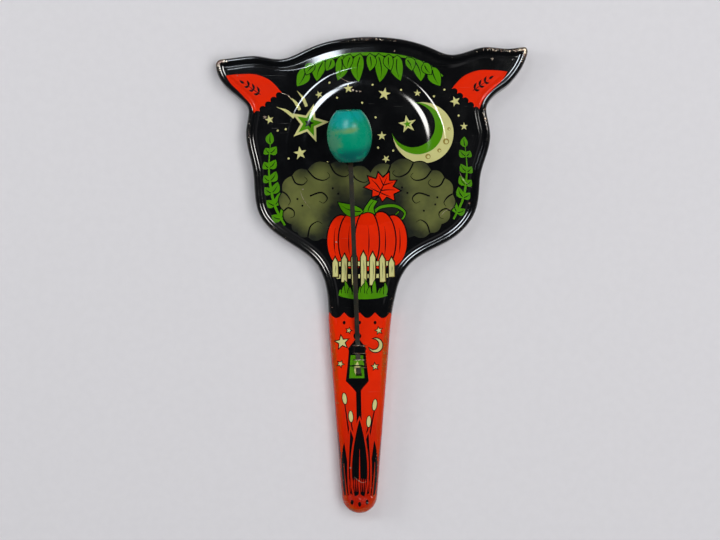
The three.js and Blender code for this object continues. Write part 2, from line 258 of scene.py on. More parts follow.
def midrib(base: Spot, tip: Spot, width: float, bow: float = 0.12, reach: float = 0.84) -> np.ndarray:
    """Draw the rib of the leaf that leaf() draws with the same base, tip and bow."""
    middle = bowed(base, tip, np.array([0.03, 0.3, 0.6, reach]), bow)
    return brush([tuple(p) for p in middle], width, 1, 0.2)


def scalloped(points: list[Spot], bulge: float) -> np.ndarray:
    """Join points in a closed ring by arcs that bulge to the right of the way round.

    Args:
        points: The ring's corners.
        bulge: The height of each arc as a share of the distance that it spans.

    Returns:
        The ring's points.
    """
    share = np.linspace(0, 1, 9)[:-1]
    return np.concatenate([bowed(a, b, share, -bulge) for a, b in zip(points, [*points[1:], points[0]])])


def inside(edge: np.ndarray, places: np.ndarray) -> np.ndarray:
    """Tell which places lie inside a closed edge.

    Args:
        edge: The edge's points.
        places: The places to test.

    Returns:
        A true or false for each place.
    """
    found = np.zeros(len(places), dtype=bool)
    low, high = edge.min(axis=0), edge.max(axis=0)
    near = np.flatnonzero(np.all((places >= low) & (places <= high), axis=1))
    if not len(near):
        return found
    x, y = places[near, 0][:, None], places[near, 1][:, None]
    ax, ay = edge[:, 0], edge[:, 1]
    bx, by = np.roll(ax, -1), np.roll(ay, -1)
    rise = np.where(by == ay, 1e-12, by - ay)
    crossed = ((ay > y) != (by > y)) & (x < (bx - ax) * (y - ay) / rise + ax)
    found[near] = crossed.sum(axis=1) % 2 == 1
    return found


# The sheet's plan and section


@dataclass
class PlanLine:
    """The outline as points in order, each with the direction that points into the sheet."""

    points: np.ndarray
    inward: np.ndarray


@dataclass
class Outline:
    """The plan of the sheet: the eared head and the tapering handle, drawn round the disc's middle."""

    handle_axis_x: float = -3.2
    handle_end_y: float = -176.6
    handle_end_radius: float = 8.6
    handle_top_y: float = -87.8
    handle_top_half_width: float = 14.9
    spacing: float = 1.0
    handle_spacing: float = 0.6
    handle_from_y: float = -80
    bend_step: float = 7
    head: tuple[tuple[float, float, float], ...] = (
        (15, -68.6, 76), (21.1, -56.9, 47), (40.1, -45.4, 31), (51.4, -34.1, 60), (54.9, -16.5, 86),
        (59.9, 5, 90), (58, 16.8, 98), (62, 24.6, 43), (69.5, 30.4, 47), (77.7, 44.4, 76),
        (75.6, 48, 184), (68.2, 47.2, 180), (57.6, 48, 180), (41.2, 44.3, 180), (30.4, 47.9, 158),
        (2.4, 52.9, 180), (-28.6, 47, 205), (-42, 42.2, 180), (-54, 43.7, 180), (-69, 42.2, 184),
        (-72.6, 38.8, 275), (-69.3, 30.3, 309), (-60.9, 22.6, 319), (-56.8, 16.6, 268), (-58.1, 6.2, 270),
        (-54.4, -14.5, 275), (-51, -34, 299), (-38.9, -45.4, 326), (-24, -57, 305), (-19.4, -68.6, 281),
    )

    def handle_side(self, side: int) -> tuple[Spot, Spot, float]:
        """Find where one side of the handle starts and ends.

        Args:
            side: 1 for the right side, -1 for the left.

        Returns:
            Its lower end, its upper end and its lean in degrees.
        """
        radius, half = self.handle_end_radius, self.handle_top_half_width
        centre_y = self.handle_end_y + radius
        length = self.handle_top_y - centre_y
        taper = math.atan2(half, length) - math.asin(radius / math.hypot(half, length))
        end = (self.handle_axis_x + side * radius * math.cos(taper), centre_y - radius * math.sin(taper))
        return end, (self.handle_axis_x + side * half, self.handle_top_y), math.degrees(taper)

    def anchors(self) -> list[tuple[float, float, float]]:
        """List the outline's places and headings, anticlockwise from the handle's end."""
        right_end, right_top, lean = self.handle_side(1)
        left_end, left_top, _ = self.handle_side(-1)
        return [
            (self.handle_axis_x, self.handle_end_y, 0),
            (*right_end, 90 - lean),
            (*right_top, 90 - lean),
            *self.head,
            (*left_top, 270 + lean),
            (*left_end, 270 + lean),
        ]

    def line(self) -> PlanLine:
        """Sample the outline closely.

        Returns:
            Its points and the directions into the sheet.
        """
        anchors = self.anchors()
        points, inward = [], []
        straight = 0.01
        t = np.linspace(0, 1, 200)[:, None]
        for (x0, y0, from_heading), (x1, y1, to_heading) in zip(anchors, [*anchors[1:], anchors[0]]):
            start, end = np.array([x0, y0]), np.array([x1, y1])
            turn = abs(math.radians((to_heading - from_heading + 180) % 360 - 180))
            share = 1 / 3 if turn < straight else (2 / 3) * math.tan(turn / 4) / math.sin(turn / 2)
            reach = float(np.linalg.norm(end - start)) * share
            a, b = start + heading(from_heading) * reach, end - heading(to_heading) * reach
            place = (1 - t) ** 3 * start + 3 * t * (1 - t) ** 2 * a + 3 * t**2 * (1 - t) * b + t**3 * end
            along = (1 - t) ** 2 * (a - start) + 2 * t * (1 - t) * (b - a) + t**2 * (end - b)
            run = np.concatenate([[0], np.cumsum(np.linalg.norm(np.diff(place, axis=0), axis=1))])
            spacing = self.spacing if min(y0, y1) > self.handle_from_y else self.handle_spacing
            steps = max(2, math.ceil(run[-1] / spacing), math.ceil(math.degrees(turn) / self.bend_step))
            at = np.arange(steps) / steps * run[-1]
            for axis, store in ((place, points), (squared(unit(along)), inward)):
                store.append(np.stack([np.interp(at, run, axis[:, k]) for k in (0, 1)], axis=1))
        return PlanLine(np.concatenate(points), unit(np.concatenate(inward)))


@dataclass
class PressedSection:
    """The section that the press gives the sheet: skirt, bead, groove, step, face and raised disc."""

    sheet: float = 0.35
    hem_width: float = 0.85
    hem_height: float = 2.4
    skirt_height: float = 6.5
    skirt_draft: float = 0.4
    skirt_tilt: float = 86
    bead_radius: float = 1.5
    bead_slope: float = 28
    bead_steps: int = 13
    crest: int = 9
    groove_inset: float = 4.2
    groove_floor: float = 0.2
    groove_radius: float = 1.8
    step_slope: float = 38
    step_inset: float = 6.0
    hollow_share: float = 0.36
    face_inset: float = 5.6
    face_z: float = 8.0427
    crown_x: float = 2.4
    crown_full_half_width: float = 30
    crown_half_width: float = 47
    crown_extra_floor: float = 0.8
    crown_step_run: float = 3.85
    crown_slope: float = 14
    disc_foot_radius: float = 38.6
    disc_slope: float = 22
    disc_foot_round: float = 3
    disc_shoulder_round: float = 10
    disc_rise: float = 3.2
    handle_bend: float = 3.2
    handle_rim_from: float = -70
    handle_rim_to: float = -90
    rims: np.ndarray = field(init=False)
    disc: np.ndarray = field(init=False)

    def __post_init__(self) -> None:
        """Work out the sections of the rim, at the head, the crown and the grip, and of the disc's edge."""
        bead_inset = self.skirt_draft + self.bead_radius
        groove_z = self.skirt_height + self.bead_radius - self.height(
            self.groove_inset - bead_inset, self.bead_radius + self.groove_radius, self.bead_slope
        )
        steps, tilt = self.bead_steps, self.skirt_tilt
        bead = self.bend(bead_inset, self.skirt_height, self.bead_radius, tilt, -self.bead_slope, steps)
        groove_centre = groove_z + self.groove_radius
        groove = self.bend(self.groove_inset, groove_centre, -self.groove_radius, -self.bead_slope, 0, 5)
        floor_end = self.groove_inset + self.groove_floor
        head = self.step(floor_end, groove_z, self.step_slope, self.step_inset - floor_end)
        crown = self.step(floor_end + self.crown_extra_floor, groove_z, self.crown_slope, self.crown_step_run)
        grip_inset = self.skirt_draft + self.handle_bend
        grip = self.bend(grip_inset, self.face_z - self.handle_bend, self.handle_bend, tilt, 0, steps)
        insets = np.linspace(grip_inset, self.face_inset, len(groove) + len(head) + 1)[1:]
        level = [(inset, self.face_z, 0) for inset in insets]
        rims = ((bead, groove, head), (bead, groove, crown), (grip, level))
        self.rims = np.array([np.concatenate(parts) for parts in rims])
        self.disc = self.disc_edge()

    def step(self, start: float, foot: float, slope: float, run: float) -> np.ndarray:
        """Sample the step from the groove's floor up to the face: a hollow bend, then a shoulder.

        Args:
            start: The distance where it leaves the floor.
            foot: The floor's height.
            slope: Its steepest tilt, in degrees.
            run: How far it reaches.

        Returns:
            Its rows of distance, height and tilt.
        """
        angle, rise = math.radians(slope), self.face_z - foot
        radii = (run * math.tan(angle) - rise) / (math.sin(angle) * math.tan(angle) - 1 + math.cos(angle))
        hollow, shoulder = radii * self.hollow_share, radii * (1 - self.hollow_share)
        return np.concatenate([
            self.bend(start, foot + hollow, -hollow, 0, slope, 5),
            self.bend(start + run, self.face_z - shoulder, shoulder, slope, 0, 6),
        ])

    def disc_edge(self) -> np.ndarray:
        """Sample the disc's edge, from its foot to its level top, as rows of radius, height and tilt."""
        rounds = self.disc_foot_round + self.disc_shoulder_round
        slope = math.radians(self.disc_slope)
        slope_run = (self.disc_rise - rounds * (1 - math.cos(slope))) / math.tan(slope)
        flat = self.disc_foot_radius - slope_run - rounds * math.sin(slope)
        foot_centre = self.face_z + self.disc_foot_round
        shoulder_centre = self.face_z + self.disc_rise - self.disc_shoulder_round
        foot = self.bend(-self.disc_foot_radius, foot_centre, -self.disc_foot_round, 0, self.disc_slope, 6)
        shoulder = self.bend(-flat, shoulder_centre, self.disc_shoulder_round, self.disc_slope, 0, 8)
        return np.concatenate([foot, shoulder]) * (-1, 1, 1)

    @staticmethod
    def height(run: float, radii: float, slope: float) -> float:
        """Find the height between two level stretches that one slope joins with a bend at each end."""
        angle = math.radians(slope)
        return radii * (1 - math.cos(angle)) + (run - radii * math.sin(angle)) * math.tan(angle)

    @staticmethod
    def bend(centre: float, z: float, radius: float, start: float, end: float, steps: int) -> np.ndarray:
        """Sample a round bend of a section as rows of distance, height and tilt.

        Args:
            centre: The distance of its centre.
            z: The height of its centre.
            radius: Its radius; less than 0 where the sheet is hollow above.
            start: The tilt in degrees where it starts.
            end: The tilt where it ends.
            steps: How many steps it takes.

        Returns:
            The rows.
        """
        tilt = np.radians(np.linspace(start, end, steps + 1))
        return np.stack([centre - radius * np.sin(tilt), z + radius * np.cos(tilt), tilt], axis=1)

    def at(self, places: np.ndarray) -> np.ndarray:
        """Find the rim's section at places of the outline.

        Args:
            places: The places on the outline.

        Returns:
            For each row of the section, its distances in, heights and tilts at every place.
        """
        off_crown = abs(places[:, 0] - self.crown_x)
        crown = 1 - between(self.crown_full_half_width, self.crown_half_width, off_crown)
        crown = np.where(places[:, 1] < 0, 0, crown)
        grip = between(self.handle_rim_from, self.handle_rim_to, places[:, 1])
        head = self.rims[0][..., None]
        return head + (self.rims[1][..., None] - head) * crown + (self.rims[2][..., None] - head) * grip


class SheetField:
    """Answers, for any place on the sheet, how high it lies, where it faces and how worn it is."""

    def __init__(self, outline: Outline, section: PressedSection) -> None:
        """Sample the outline and lay it out for quick searching.

        Args:
            outline: The sheet's plan.
            section: The sheet's section.
        """
        self.section = section
        self.line = outline.line()
        self.tree = KDTree(len(self.line.points))
        for n, (x, y) in enumerate(self.line.points):
            self.tree.insert((x, y, 0), n)
        self.tree.balance()

    def from_edge(self, places: np.ndarray) -> tuple[np.ndarray, np.ndarray, np.ndarray]:
        """Measure places from the outline.

        Args:
            places: The places to measure.

        Returns:
            The distance in, the direction into the sheet, and the nearest place on the outline.
        """
        points, inward = self.line.points, self.line.inward
        count = len(points)
        near = np.array([self.tree.find((x, y, 0))[1] for x, y in places])
        best = np.full(len(places), np.inf)
        foot = np.zeros_like(places)
        into = np.zeros_like(places)
        for step in (-1, 0):
            a, b = (near + step) % count, (near + step + 1) % count
            run = points[b] - points[a]
            share = np.clip(((places - points[a]) * run).sum(1) / (run**2).sum(1), 0, 1)[:, None]
            spot = points[a] + run * share
            gap = np.linalg.norm(places - spot, axis=1)
            closer = gap < best
            best[closer] = gap[closer]
            foot[closer] = spot[closer]
            into[closer] = (inward[a] * (1 - share) + inward[b] * share)[closer]
        into = unit(into)
        return best * np.sign(((places - foot) * into).sum(1) + 1e-9), into, foot

    def surface(self, places: np.ndarray) -> tuple[np.ndarray, np.ndarray, np.ndarray]:
        """Find the printed side of the sheet at places inside the bead's crest.

        Args:
            places: The places, in mm from the disc's middle.

        Returns:
            The heights, the unit normals and the distances from the outline.
        """
        inset, into, foot = self.from_edge(places)
        rows, each = self.section.at(foot), np.arange(len(places))
        step = np.clip((rows[:, 0] <= inset).sum(axis=0) - 1, 0, len(rows) - 2)
        here, ahead = rows[step, :, each], rows[step + 1, :, each]
        share = np.clip((inset - here[:, 0]) / (ahead[:, 0] - here[:, 0]), 0, 1)[:, None]
        _, z, tilt = (here + (ahead - here) * share).T
        radius, disc = np.linalg.norm(places, axis=1), self.section.disc
        on_disc = radius < self.section.disc_foot_radius
        z = np.where(on_disc, np.interp(-radius, -disc[:, 0], disc[:, 1]), z)
        tilt = np.where(on_disc, np.interp(-radius, -disc[:, 0], disc[:, 2]), tilt)
        uphill = np.where(on_disc[:, None], -places / np.maximum(radius, 1e-6)[:, None], into)
        normal = np.column_stack([-uphill * np.sin(tilt)[:, None], np.cos(tilt)])
        return z, normal, inset


# The printed design


@dataclass(frozen=True)
class PrintShape:
    """One closed shape of the print, in one ink. Later shapes lie over earlier ones."""

    ink: Ink
    edge: np.ndarray


def grown(edge: np.ndarray, width: float) -> np.ndarray:
    """Move a closed edge outwards, or inwards where width is less than 0.

    Args:
        edge: The edge's points.
        width: How far it moves, in mm.

    Returns:
        The moved edge.
    """
    least, longest_mitre = 0.8, 2.2
    ahead = unit(np.roll(edge, -1, axis=0) - edge)
    behind = unit(edge - np.roll(edge, 1, axis=0))
    area = (edge[:, 0] * np.roll(edge[:, 1], -1) - np.roll(edge[:, 0], -1) * edge[:, 1]).sum()
    out = (-1 if area > 0 else 1) * (squared(ahead) + squared(behind))
    length = np.linalg.norm(out, axis=1)
    return edge + unit(out) * (width * np.minimum(2 / np.maximum(length, least), longest_mitre))[:, None]


@dataclass
class LithoPrint:
    """The printer's design: leaves, moon and stars, a bank of cloud, a pumpkin behind a fence, a lantern."""

    key_line: float = 0.55
    middle_x: float = -3.2
    below_handle_y: float = -190
    moon: Spot = (27.2, 6.2)
    shooting_star: Spot = (-27.4, 10.6)
    pumpkin_middle: Spot = (0.4, -45.4)
    fence_x: float = -1.4
    drift: tuple[Spot, float] = ((7.4, -20.6), -24)
    shapes: list[PrintShape] = field(default_factory=list)
    clouds_lit: tuple[tuple[float, float, float], ...] = (
        (-35, -19, 7.5), (-21, -14.5, 6.5), (-6, -17, 6), (8, -15, 6), (23, -14, 7), (37, -20, 7.5),
        (-37, -30, 6.5), (-24, -27, 6.5), (38, -31, 6), (25, -27, 6.5), (-27, -37, 5), (29, -36.5, 5),
    )

    def lay(self, ink: Ink, *edges: np.ndarray) -> None:
        """Print shapes in one ink over what is there."""
        self.shapes += [PrintShape(ink, edge) for edge in edges]

    def lay_outlined(self, ink: Ink, edge: np.ndarray, width: float | None = None) -> None:
        """Print one shape with a black key line round it."""
        self.lay(Ink.BLACK, grown(edge, self.key_line if width is None else width))
        self.lay(ink, edge)

    def strokes(self, ink: Ink, width: float, start: float, end: float, *lines: list[Spot]) -> None:
        """Print brush strokes of one kind along lines."""
        self.lay(ink, *(brush(points, width, start, end) for points in lines))

    def dots(self, ink: Ink, across: float, high: float, *spots: Spot) -> None:
        """Print ovals of one size."""
        self.lay(ink, *(oval(x, y, across, high) for x, y in spots))

    def swags(self, ink: Ink, start: float, end: float, y: float, drop: float, width: float) -> None:
        """Print a ground that reaches down past the handle's end, with swags along its top.

        Args:
            ink: The ink.
            start: Where the swags start, across the handle.
            end: Where they end.
            y: The height of their ends.
            drop: How far they hang.
            width: The width of one.
        """
        x = np.linspace(start, end, round(abs(end - start) * 2) + 1)
        edge = np.stack([x, y - drop * abs(np.sin(math.pi * (x - self.middle_x) / width))], axis=1)
        self.lay(ink, np.concatenate([edge, [(end, self.below_handle_y), (start, self.below_handle_y)]]))

    def draw(self) -> list[PrintShape]:
        """Draw the whole design.

        Returns:
            Its shapes, the lowest first.
        """
        self.grip_ground()
        self.crown_garland()
        self.ear_panels()
        self.night_sky()
        self.cheek_sprigs()
        self.cloud_bank()
        self.drifting_leaf()
        self.pumpkin()
        self.picket_fence()
        self.lantern_post()
        self.tussock()
        self.chips()
        return self.shapes

    def sprig(
        self, stem: list[Spot], length: float, width: float, pairs: int,
        ink: Ink = Ink.GREEN, rib: float = 0.42,
    ) -> None:
        """Print a stem with pairs of leaves along it and one leaf at its tip.

        Args:
            stem: The points that the stem passes.
            length: The longest leaf's length, in mm.
            width: The leaves' width.
            pairs: How many pairs there are.
            ink: The ink.
            rib: The width of the black ribs, or 0 for none.
        """
        leaf_lean, shrink, outer_side = 38, 0.07, 0.72
        self.lay(ink, brush(stem, width * 0.32, 0.8, 0.3))
        line = flowing(stem, False)
        end = line[-1] - line[-4]
        leaves = [(line[-1], end / np.linalg.norm(end) * length * 0.8, 0.08)]
        for n in range(pairs):
            spot = int((n + 0.7) / (pairs + 0.4) * (len(line) - 2))
            run = line[spot + 1] - line[spot]
            for side in (1, -1):
                reach = length * (1 - shrink * n) * (1 if side * line[0][0] > 0 else outer_side)
                out = turned(run / np.linalg.norm(run) * reach, side * leaf_lean)
                leaves.append((line[spot], out, 0.1 * side))
        for base, out, bow in leaves:
            self.lay(ink, leaf(tuple(base), tuple(base + out), width, bow))
            if rib:
                self.lay(Ink.BLACK, midrib(tuple(base + out * 0.1), tuple(base + out), rib, bow))

    def grip_ground(self) -> None:
        """Print the handle's orange ground, under black swags where the head ends."""
        self.swags(Ink.ORANGE, 26, -32, -79.6, 2.8, 7.4)
        self.dots(Ink.BLACK, 0.7, 0.9, *((x, -84.6) for x in (-10.6, -3.2, 4.2)))

    def crown_garland(self) -> None:
        """Print the leaves that hang from a vine under the crown's border, long and short by turns."""
        vine = [
            (-33.4, 33.2), (-28.4, 37.8), (-20, 41.6), (-9, 43.6), (2.4, 44.2),
            (13.4, 43.5), (24, 41.4), (31.6, 37.8), (36.6, 33.4),
        ]
        falls, widths, places = (8.4, 14.6), (4.6, 6.2), 17
        self.strokes(Ink.GREEN, 1.7, 0.4, 0.4, vine)
        line = flowing(vine, False)
        for n in [*range(1, places - 1, 2), *range(2, places - 2, 2)]:
            x, y = line[int((n + 0.5) / places * (len(line) - 1))]
            tip = (x * 1.13 - 0.3, y - falls[n % 2] * (1 - 0.013 * abs(x - 2)))
            bow = 0.09 if n % 4 < 2 else -0.09
            self.lay_outlined(Ink.GREEN, leaf((x, y), tip, widths[n % 2], bow), 0.35)
            self.lay(Ink.BLACK, midrib((x, y - 1.2), tip, 0.5, bow))

    def ear_panels(self) -> None:
        """Print the orange panels of the ears, scalloped along their inner side, each with a black sprig."""
        edge = [
            (-67.2, 33.8), (-67.2, 33.8), (-65.2, 30.2), (-61.4, 26.4), (-58.6, 23.4), (-55.6, 20),
            (-53.4, 14.8), (-53.4, 14.8), (-40.6, 25.6), (-40.6, 25.6), (-45.8, 31.2), (-52.8, 34.2),
            (-60.5, 34.4),
        ]
        stem = ((-50.6, 24.6), (-54.4, 27.2), (-58.4, 30))
        notches = [oval(-52.2 + 2.62 * n, 15.4 + 2.2 * n, 1.62, 1.62) for n in range(5)]
        for side, move in ((1, (0, 0)), (-1, (0.4, 1.9))):
            flip = np.array([side, 1])
            self.lay(Ink.ORANGE, flowing(edge, True) * flip + move)
            self.lay(Ink.BLACK, *(notch * flip + move for notch in notches))
            self.sprig([(side * x + move[0], y + move[1]) for x, y in stem], 3.6, 1.15, 3, Ink.BLACK, 0)

    def night_sky(self) -> None:
        """Print the moon, the shooting star and the small stars on the sounding disc."""
        x, y = self.moon
        self.lay(Ink.CREAM, oval(x, y, 14.6, 14.6))
        self.lay(Ink.GREEN, oval(24.4, 8.2, 12.4, 12.4))
        self.lay(Ink.BLACK, oval(22.2, 9.8, 10.7, 10.7))
        for x, y, r in ((38.2, 2.2, 1.5), (34.9, -2.2, 1.0), (29.4, -5.2, 1.3), (39.6, 8.2, 0.8)):
            self.lay(Ink.OCHRE, oval(x, y, r, r))
            self.lay(Ink.CREAM, oval(x + 0.2, y - 0.2, r * 0.55, r * 0.55))
        for ink, reach in ((Ink.CREAM, 4.4), (Ink.GREEN, 2.1)):
            self.lay(ink, star(19.6, 10.2, reach, 10, 0.4))
        self.lay(Ink.CREAM, grown(star(*self.shooting_star, 9.4, -14), 0.1))
        for ink, reach in ((Ink.GREEN, 6.6), (Ink.BLACK, 2.6)):
            self.lay(ink, star(*self.shooting_star, reach, -14))
        self.strokes(
            Ink.CREAM, 1.5, 0.9, 0.05,
            [(-31.8, 17.2), (-34, 21), (-37.2, 23.6)],
            [(-28.6, 18.8), (-30.4, 23), (-33.2, 26.4)],
            [(-34.6, 13.6), (-38.4, 16.8), (-43, 18.6)],
        )
        stars = (
            (-31.6, -3.6, 3.3, 8), (8.6, 24.6, 3.1, -10), (42.6, 21.4, 2.6, 20), (-8.6, 27.2, 2.3, 5),
            (7.4, 4.6, 2.3, 0), (-46.4, 12.6, 2.2, 15), (9.4, -6.4, 2.0, 30), (24.4, 25.2, 1.8, 0),
            (-22.6, 24.4, 1.9, 22), (46.8, 9.4, 1.9, 0),
        )
        self.lay(Ink.CREAM, *(star(x, y, reach, lean, 0.4) for x, y, reach, lean in stars))
        self.dots(
            Ink.CREAM, 0.5, 0.5, (-14, 22.8), (-2, 20.4), (3, 29), (16.6, 26.6), (32.4, 23.8), (37.4, 27),
            (4.4, 13.4), (5.6, -1), (12.8, -2.4), (-38.6, 8), (-37.2, -6), (-42.4, 7.4), (-18.6, -8),
            (44.2, 14.6), (-17.6, 30.2),
        )

    def cheek_sprigs(self) -> None:
        """Print a leafy sprig up each cheek."""
        self.sprig([(-39, -38), (-44, -28), (-46.6, -13), (-46, 0.6)], 7.4, 4, 6)
        self.sprig([(41.8, -35), (46.4, -25), (48.2, -12), (47.4, -0.6)], 6.4, 3.6, 5)

    def cloud_bank(self) -> None:
        """Print the two airbrushed banks of cloud, with black curls along their puffs."""
        puffs = [
            (-33, -41.5), (-28, -43.5), (-21, -44), (-14, -40), (0, -35), (14, -40), (23, -43),
            (30.4, -41.5), (36, -37.4), (40, -31), (41.2, -23), (37.4, -15.4), (31, -12), (22.4, -8.4),
            (11.6, -9.4), (2, -13), (-7.4, -11), (-17.4, -9), (-28, -11.8), (-35.6, -14.4), (-40, -22),
            (-39.4, -31), (-35.8, -37.6),
        ]
        self.lay_outlined(Ink.SMOKE, scalloped(puffs, 0.24), 0.5)
        self.strokes(
            Ink.BLACK, 0.75, 1, 0.3,
            [(-35.6, -14.4), (-33.8, -17.8), (-30.4, -18.6), (-28.2, -16.6), (-29.6, -14.9)],
            [(-28, -11.8), (-24.6, -15.4), (-20.4, -16.6), (-17.4, -14.8), (-18.6, -12.8)],
            [(-17.4, -9), (-14.8, -13.2), (-10.6, -14.9), (-8, -13.4), (-8.8, -11.8)],
            [(-7.4, -11), (-5.4, -15.6), (-1.2, -17.6), (1.6, -16.2)],
            [(11.6, -9.4), (9.4, -13.8), (5, -15.8), (2.4, -14.6)],
            [(22.4, -8.4), (19.8, -13), (15.4, -15), (12.6, -13.4), (13.4, -11.8)],
            [(31, -12), (28, -15.6), (23.6, -16.6), (21.2, -14.8), (22.4, -13)],
            [(37.4, -15.4), (35.4, -18.8), (31.8, -19.6), (29.6, -17.8), (30.8, -16)],
            [(-39.4, -31), (-37.4, -29.6), (-34.8, -31), (-34.6, -33.6), (-36.4, -34.4)],
            [(-40, -22), (-38, -23.4), (-36.4, -26.4), (-37.4, -28.4)],
            [(41.2, -23), (39, -24.4), (37.2, -27), (38.2, -29)],
            [(40, -31), (37.8, -30), (35, -31.8), (35.2, -34.2), (37, -34.8)],
            [(-28, -43.5), (-26.8, -38.6), (-23.4, -36.2), (-21, -37.4)],
            [(30.4, -41.5), (29, -37.4), (26, -35.4), (23.8, -36.6)],
            [(-27, -24), (-21.6, -22.4), (-18.6, -25), (-20.4, -27.4), (-22.6, -26.4)],
            [(30.4, -24), (25, -22.6), (22, -25), (23.6, -27.4), (25.8, -26.4)],
        )
        self.dots(
            Ink.BLACK, 0.5, 0.5, (-33, -25.4), (-30.6, -28.6), (-16, -20.4), (-13.4, -23), (17, -20),
            (19.6, -22.6), (34, -24.6), (33, -28), (-12, -30), (27.6, -31),
        )

    def drifting_leaf(self) -> None:
        """Print the orange leaf that drifts over the clouds."""
        (x, y), lean = self.drift
        lobes = [
            (0, 8.4), (1.6, 4.8), (4.6, 6.2), (4.2, 3), (8.2, 2.6), (6, 0),
            (7.6, -2.6), (3.6, -2.4), (2.6, -5.2), (0.6, -3.6), (0, -4.2),
        ]
        lobes += [(-x, y) for x, y in lobes[-2:0:-1]]
        side_ribs = (
            [(0, -1), (3, 0.8), (6.2, 2)],
            [(0, 1.8), (1.8, 3.4), (3.6, 5)],
            [(0, -2), (2.6, -2), (5.4, -1.8)],
        )
        ribs = [[(0, -4), (0, 1), (0, 6.4)]]
        for rib in side_ribs:
            ribs += [rib, [(-x, y) for x, y in rib]]
        self.lay_outlined(Ink.ORANGE, turned(np.array(lobes, dtype=float), lean) + (x, y), 0.6)
        for rib in ribs:
            self.lay(Ink.BLACK, turned(brush(rib, 0.5, 1, 0.3), lean) + (x, y))
        stalk = brush([(0, -3.4), (-0.6, -6.4), (0.8, -8.8)], 0.8, 1, 0.6)
        self.lay(Ink.BLACK, turned(stalk, lean) + (x, y))

    def pumpkin(self) -> None:
        """Print the plain ribbed pumpkin with its stalk and vine."""
        vine = [
            (3, -33), (6.4, -29.6), (13.6, -28.8), (18.4, -31.8), (16.8, -35.2), (13.8, -33.6), (15.6, -31.4),
        ]
        self.lay_outlined(Ink.GREEN, brush(vine, 1.3, 1, 0.3), 0.35)
        x, y = self.pumpkin_middle
        for out, half, high in ((12.4, 6.6, 12), (6.6, 6.9, 13.6), (0, 5.6, 14.4)):
            for side in (-1, 1):
                self.lay_outlined(Ink.ORANGE, oval(x + side * out, y, half, high), 0.65)
                rib = [
                    (x + side * (out * 1.2 + 0.9 * math.cos(turn)), y + high * 0.55 * math.sin(turn))
                    for turn in np.linspace(-1.2, 1.2, 6)
                ]
                self.strokes(Ink.BLACK, 0.5, 0.2, 0.2, rib)
        stalk = [
            (-2, -32.4), (-2, -32.4), (-0.6, -29.6), (2.2, -25.6), (2.2, -25.6), (5.2, -26.6),
            (5.2, -26.6), (3.4, -29.6), (4.2, -32.8), (4.2, -32.8), (1, -31.6),
        ]
        self.lay_outlined(Ink.GREEN, flowing(stalk, True), 0.5)
        self.strokes(Ink.BLACK, 0.4, 0.8, 0.3, [(0.8, -31.4), (1.6, -29), (3.6, -26.4)])
        self.lay_outlined(Ink.GREEN, leaf((-1.6, -31.6), (-13.4, -27.2), 5.4, 0.12), 0.4)
        self.lay(Ink.BLACK, midrib((-2.2, -31.4), (-13.4, -27.2), 0.45, 0.12))

    def picket_fence(self) -> None:
        """Print the cream picket fence in front of the pumpkin, with grass along its foot."""
        for y, half, high in ((-55.6, 14.6, 2.0), (-61.6, 12.8, 1.9)):
            rail = np.array([(-half, 0), (half, 0.4), (half, 0.4 - high), (-half, -high)])
            self.lay_outlined(Ink.CREAM, rail + (self.fence_x, y), 0.45)
        for n in range(-3, 4):
            x, top, foot = self.fence_x + 4.5 * n, -50.6 - 0.3 * n * n, -67.2 + 0.5 * n * n
            slat = [(-1.35, foot - top), (1.35, foot - top), (1.3, -2.6), (0, 0), (-1.3, -2.6)]
            edge = turned(np.array(slat, dtype=float), (0.9, -0.8, 1.4)[n % 3]) + (x, top)
            self.lay_outlined(Ink.OCHRE, edge, 0.5)
            self.lay(Ink.CREAM, grown(edge, -0.16) + (-0.08, 0.05))
            grain = [(x + 0.1, top - 4), (x + 0.3, (top + foot) / 2), (x + 0.1, foot + 2)]
            self.strokes(Ink.BLACK, 0.3, 0.3, 0.3, grain)
        leans, heights = (0.6, -0.7, 0.2), (6.2, 8.2, 4.8)
        for n in range(-7, 8):
            x, y = -1.6 + 1.5 * n, -72
            tip = (x + 0.1 * n + leans[n % 3], y + heights[n % 3] - 0.03 * n * n)
            self.lay_outlined(Ink.GREEN, leaf((x, y), tip, 1.9, 0.06 * (1, -1)[n % 2]), 0.3)
        turf = [
            (-13.4, -71.4), (-10, -70.4), (-6.4, -71.2), (-2.8, -70.2), (0.8, -71), (4.4, -70.3),
            (7.6, -71), (10.2, -71.6), (5, -73), (-1.6, -73.4), (-8.4, -73),
        ]
        self.lay(Ink.GREEN, flowing(turf, True))

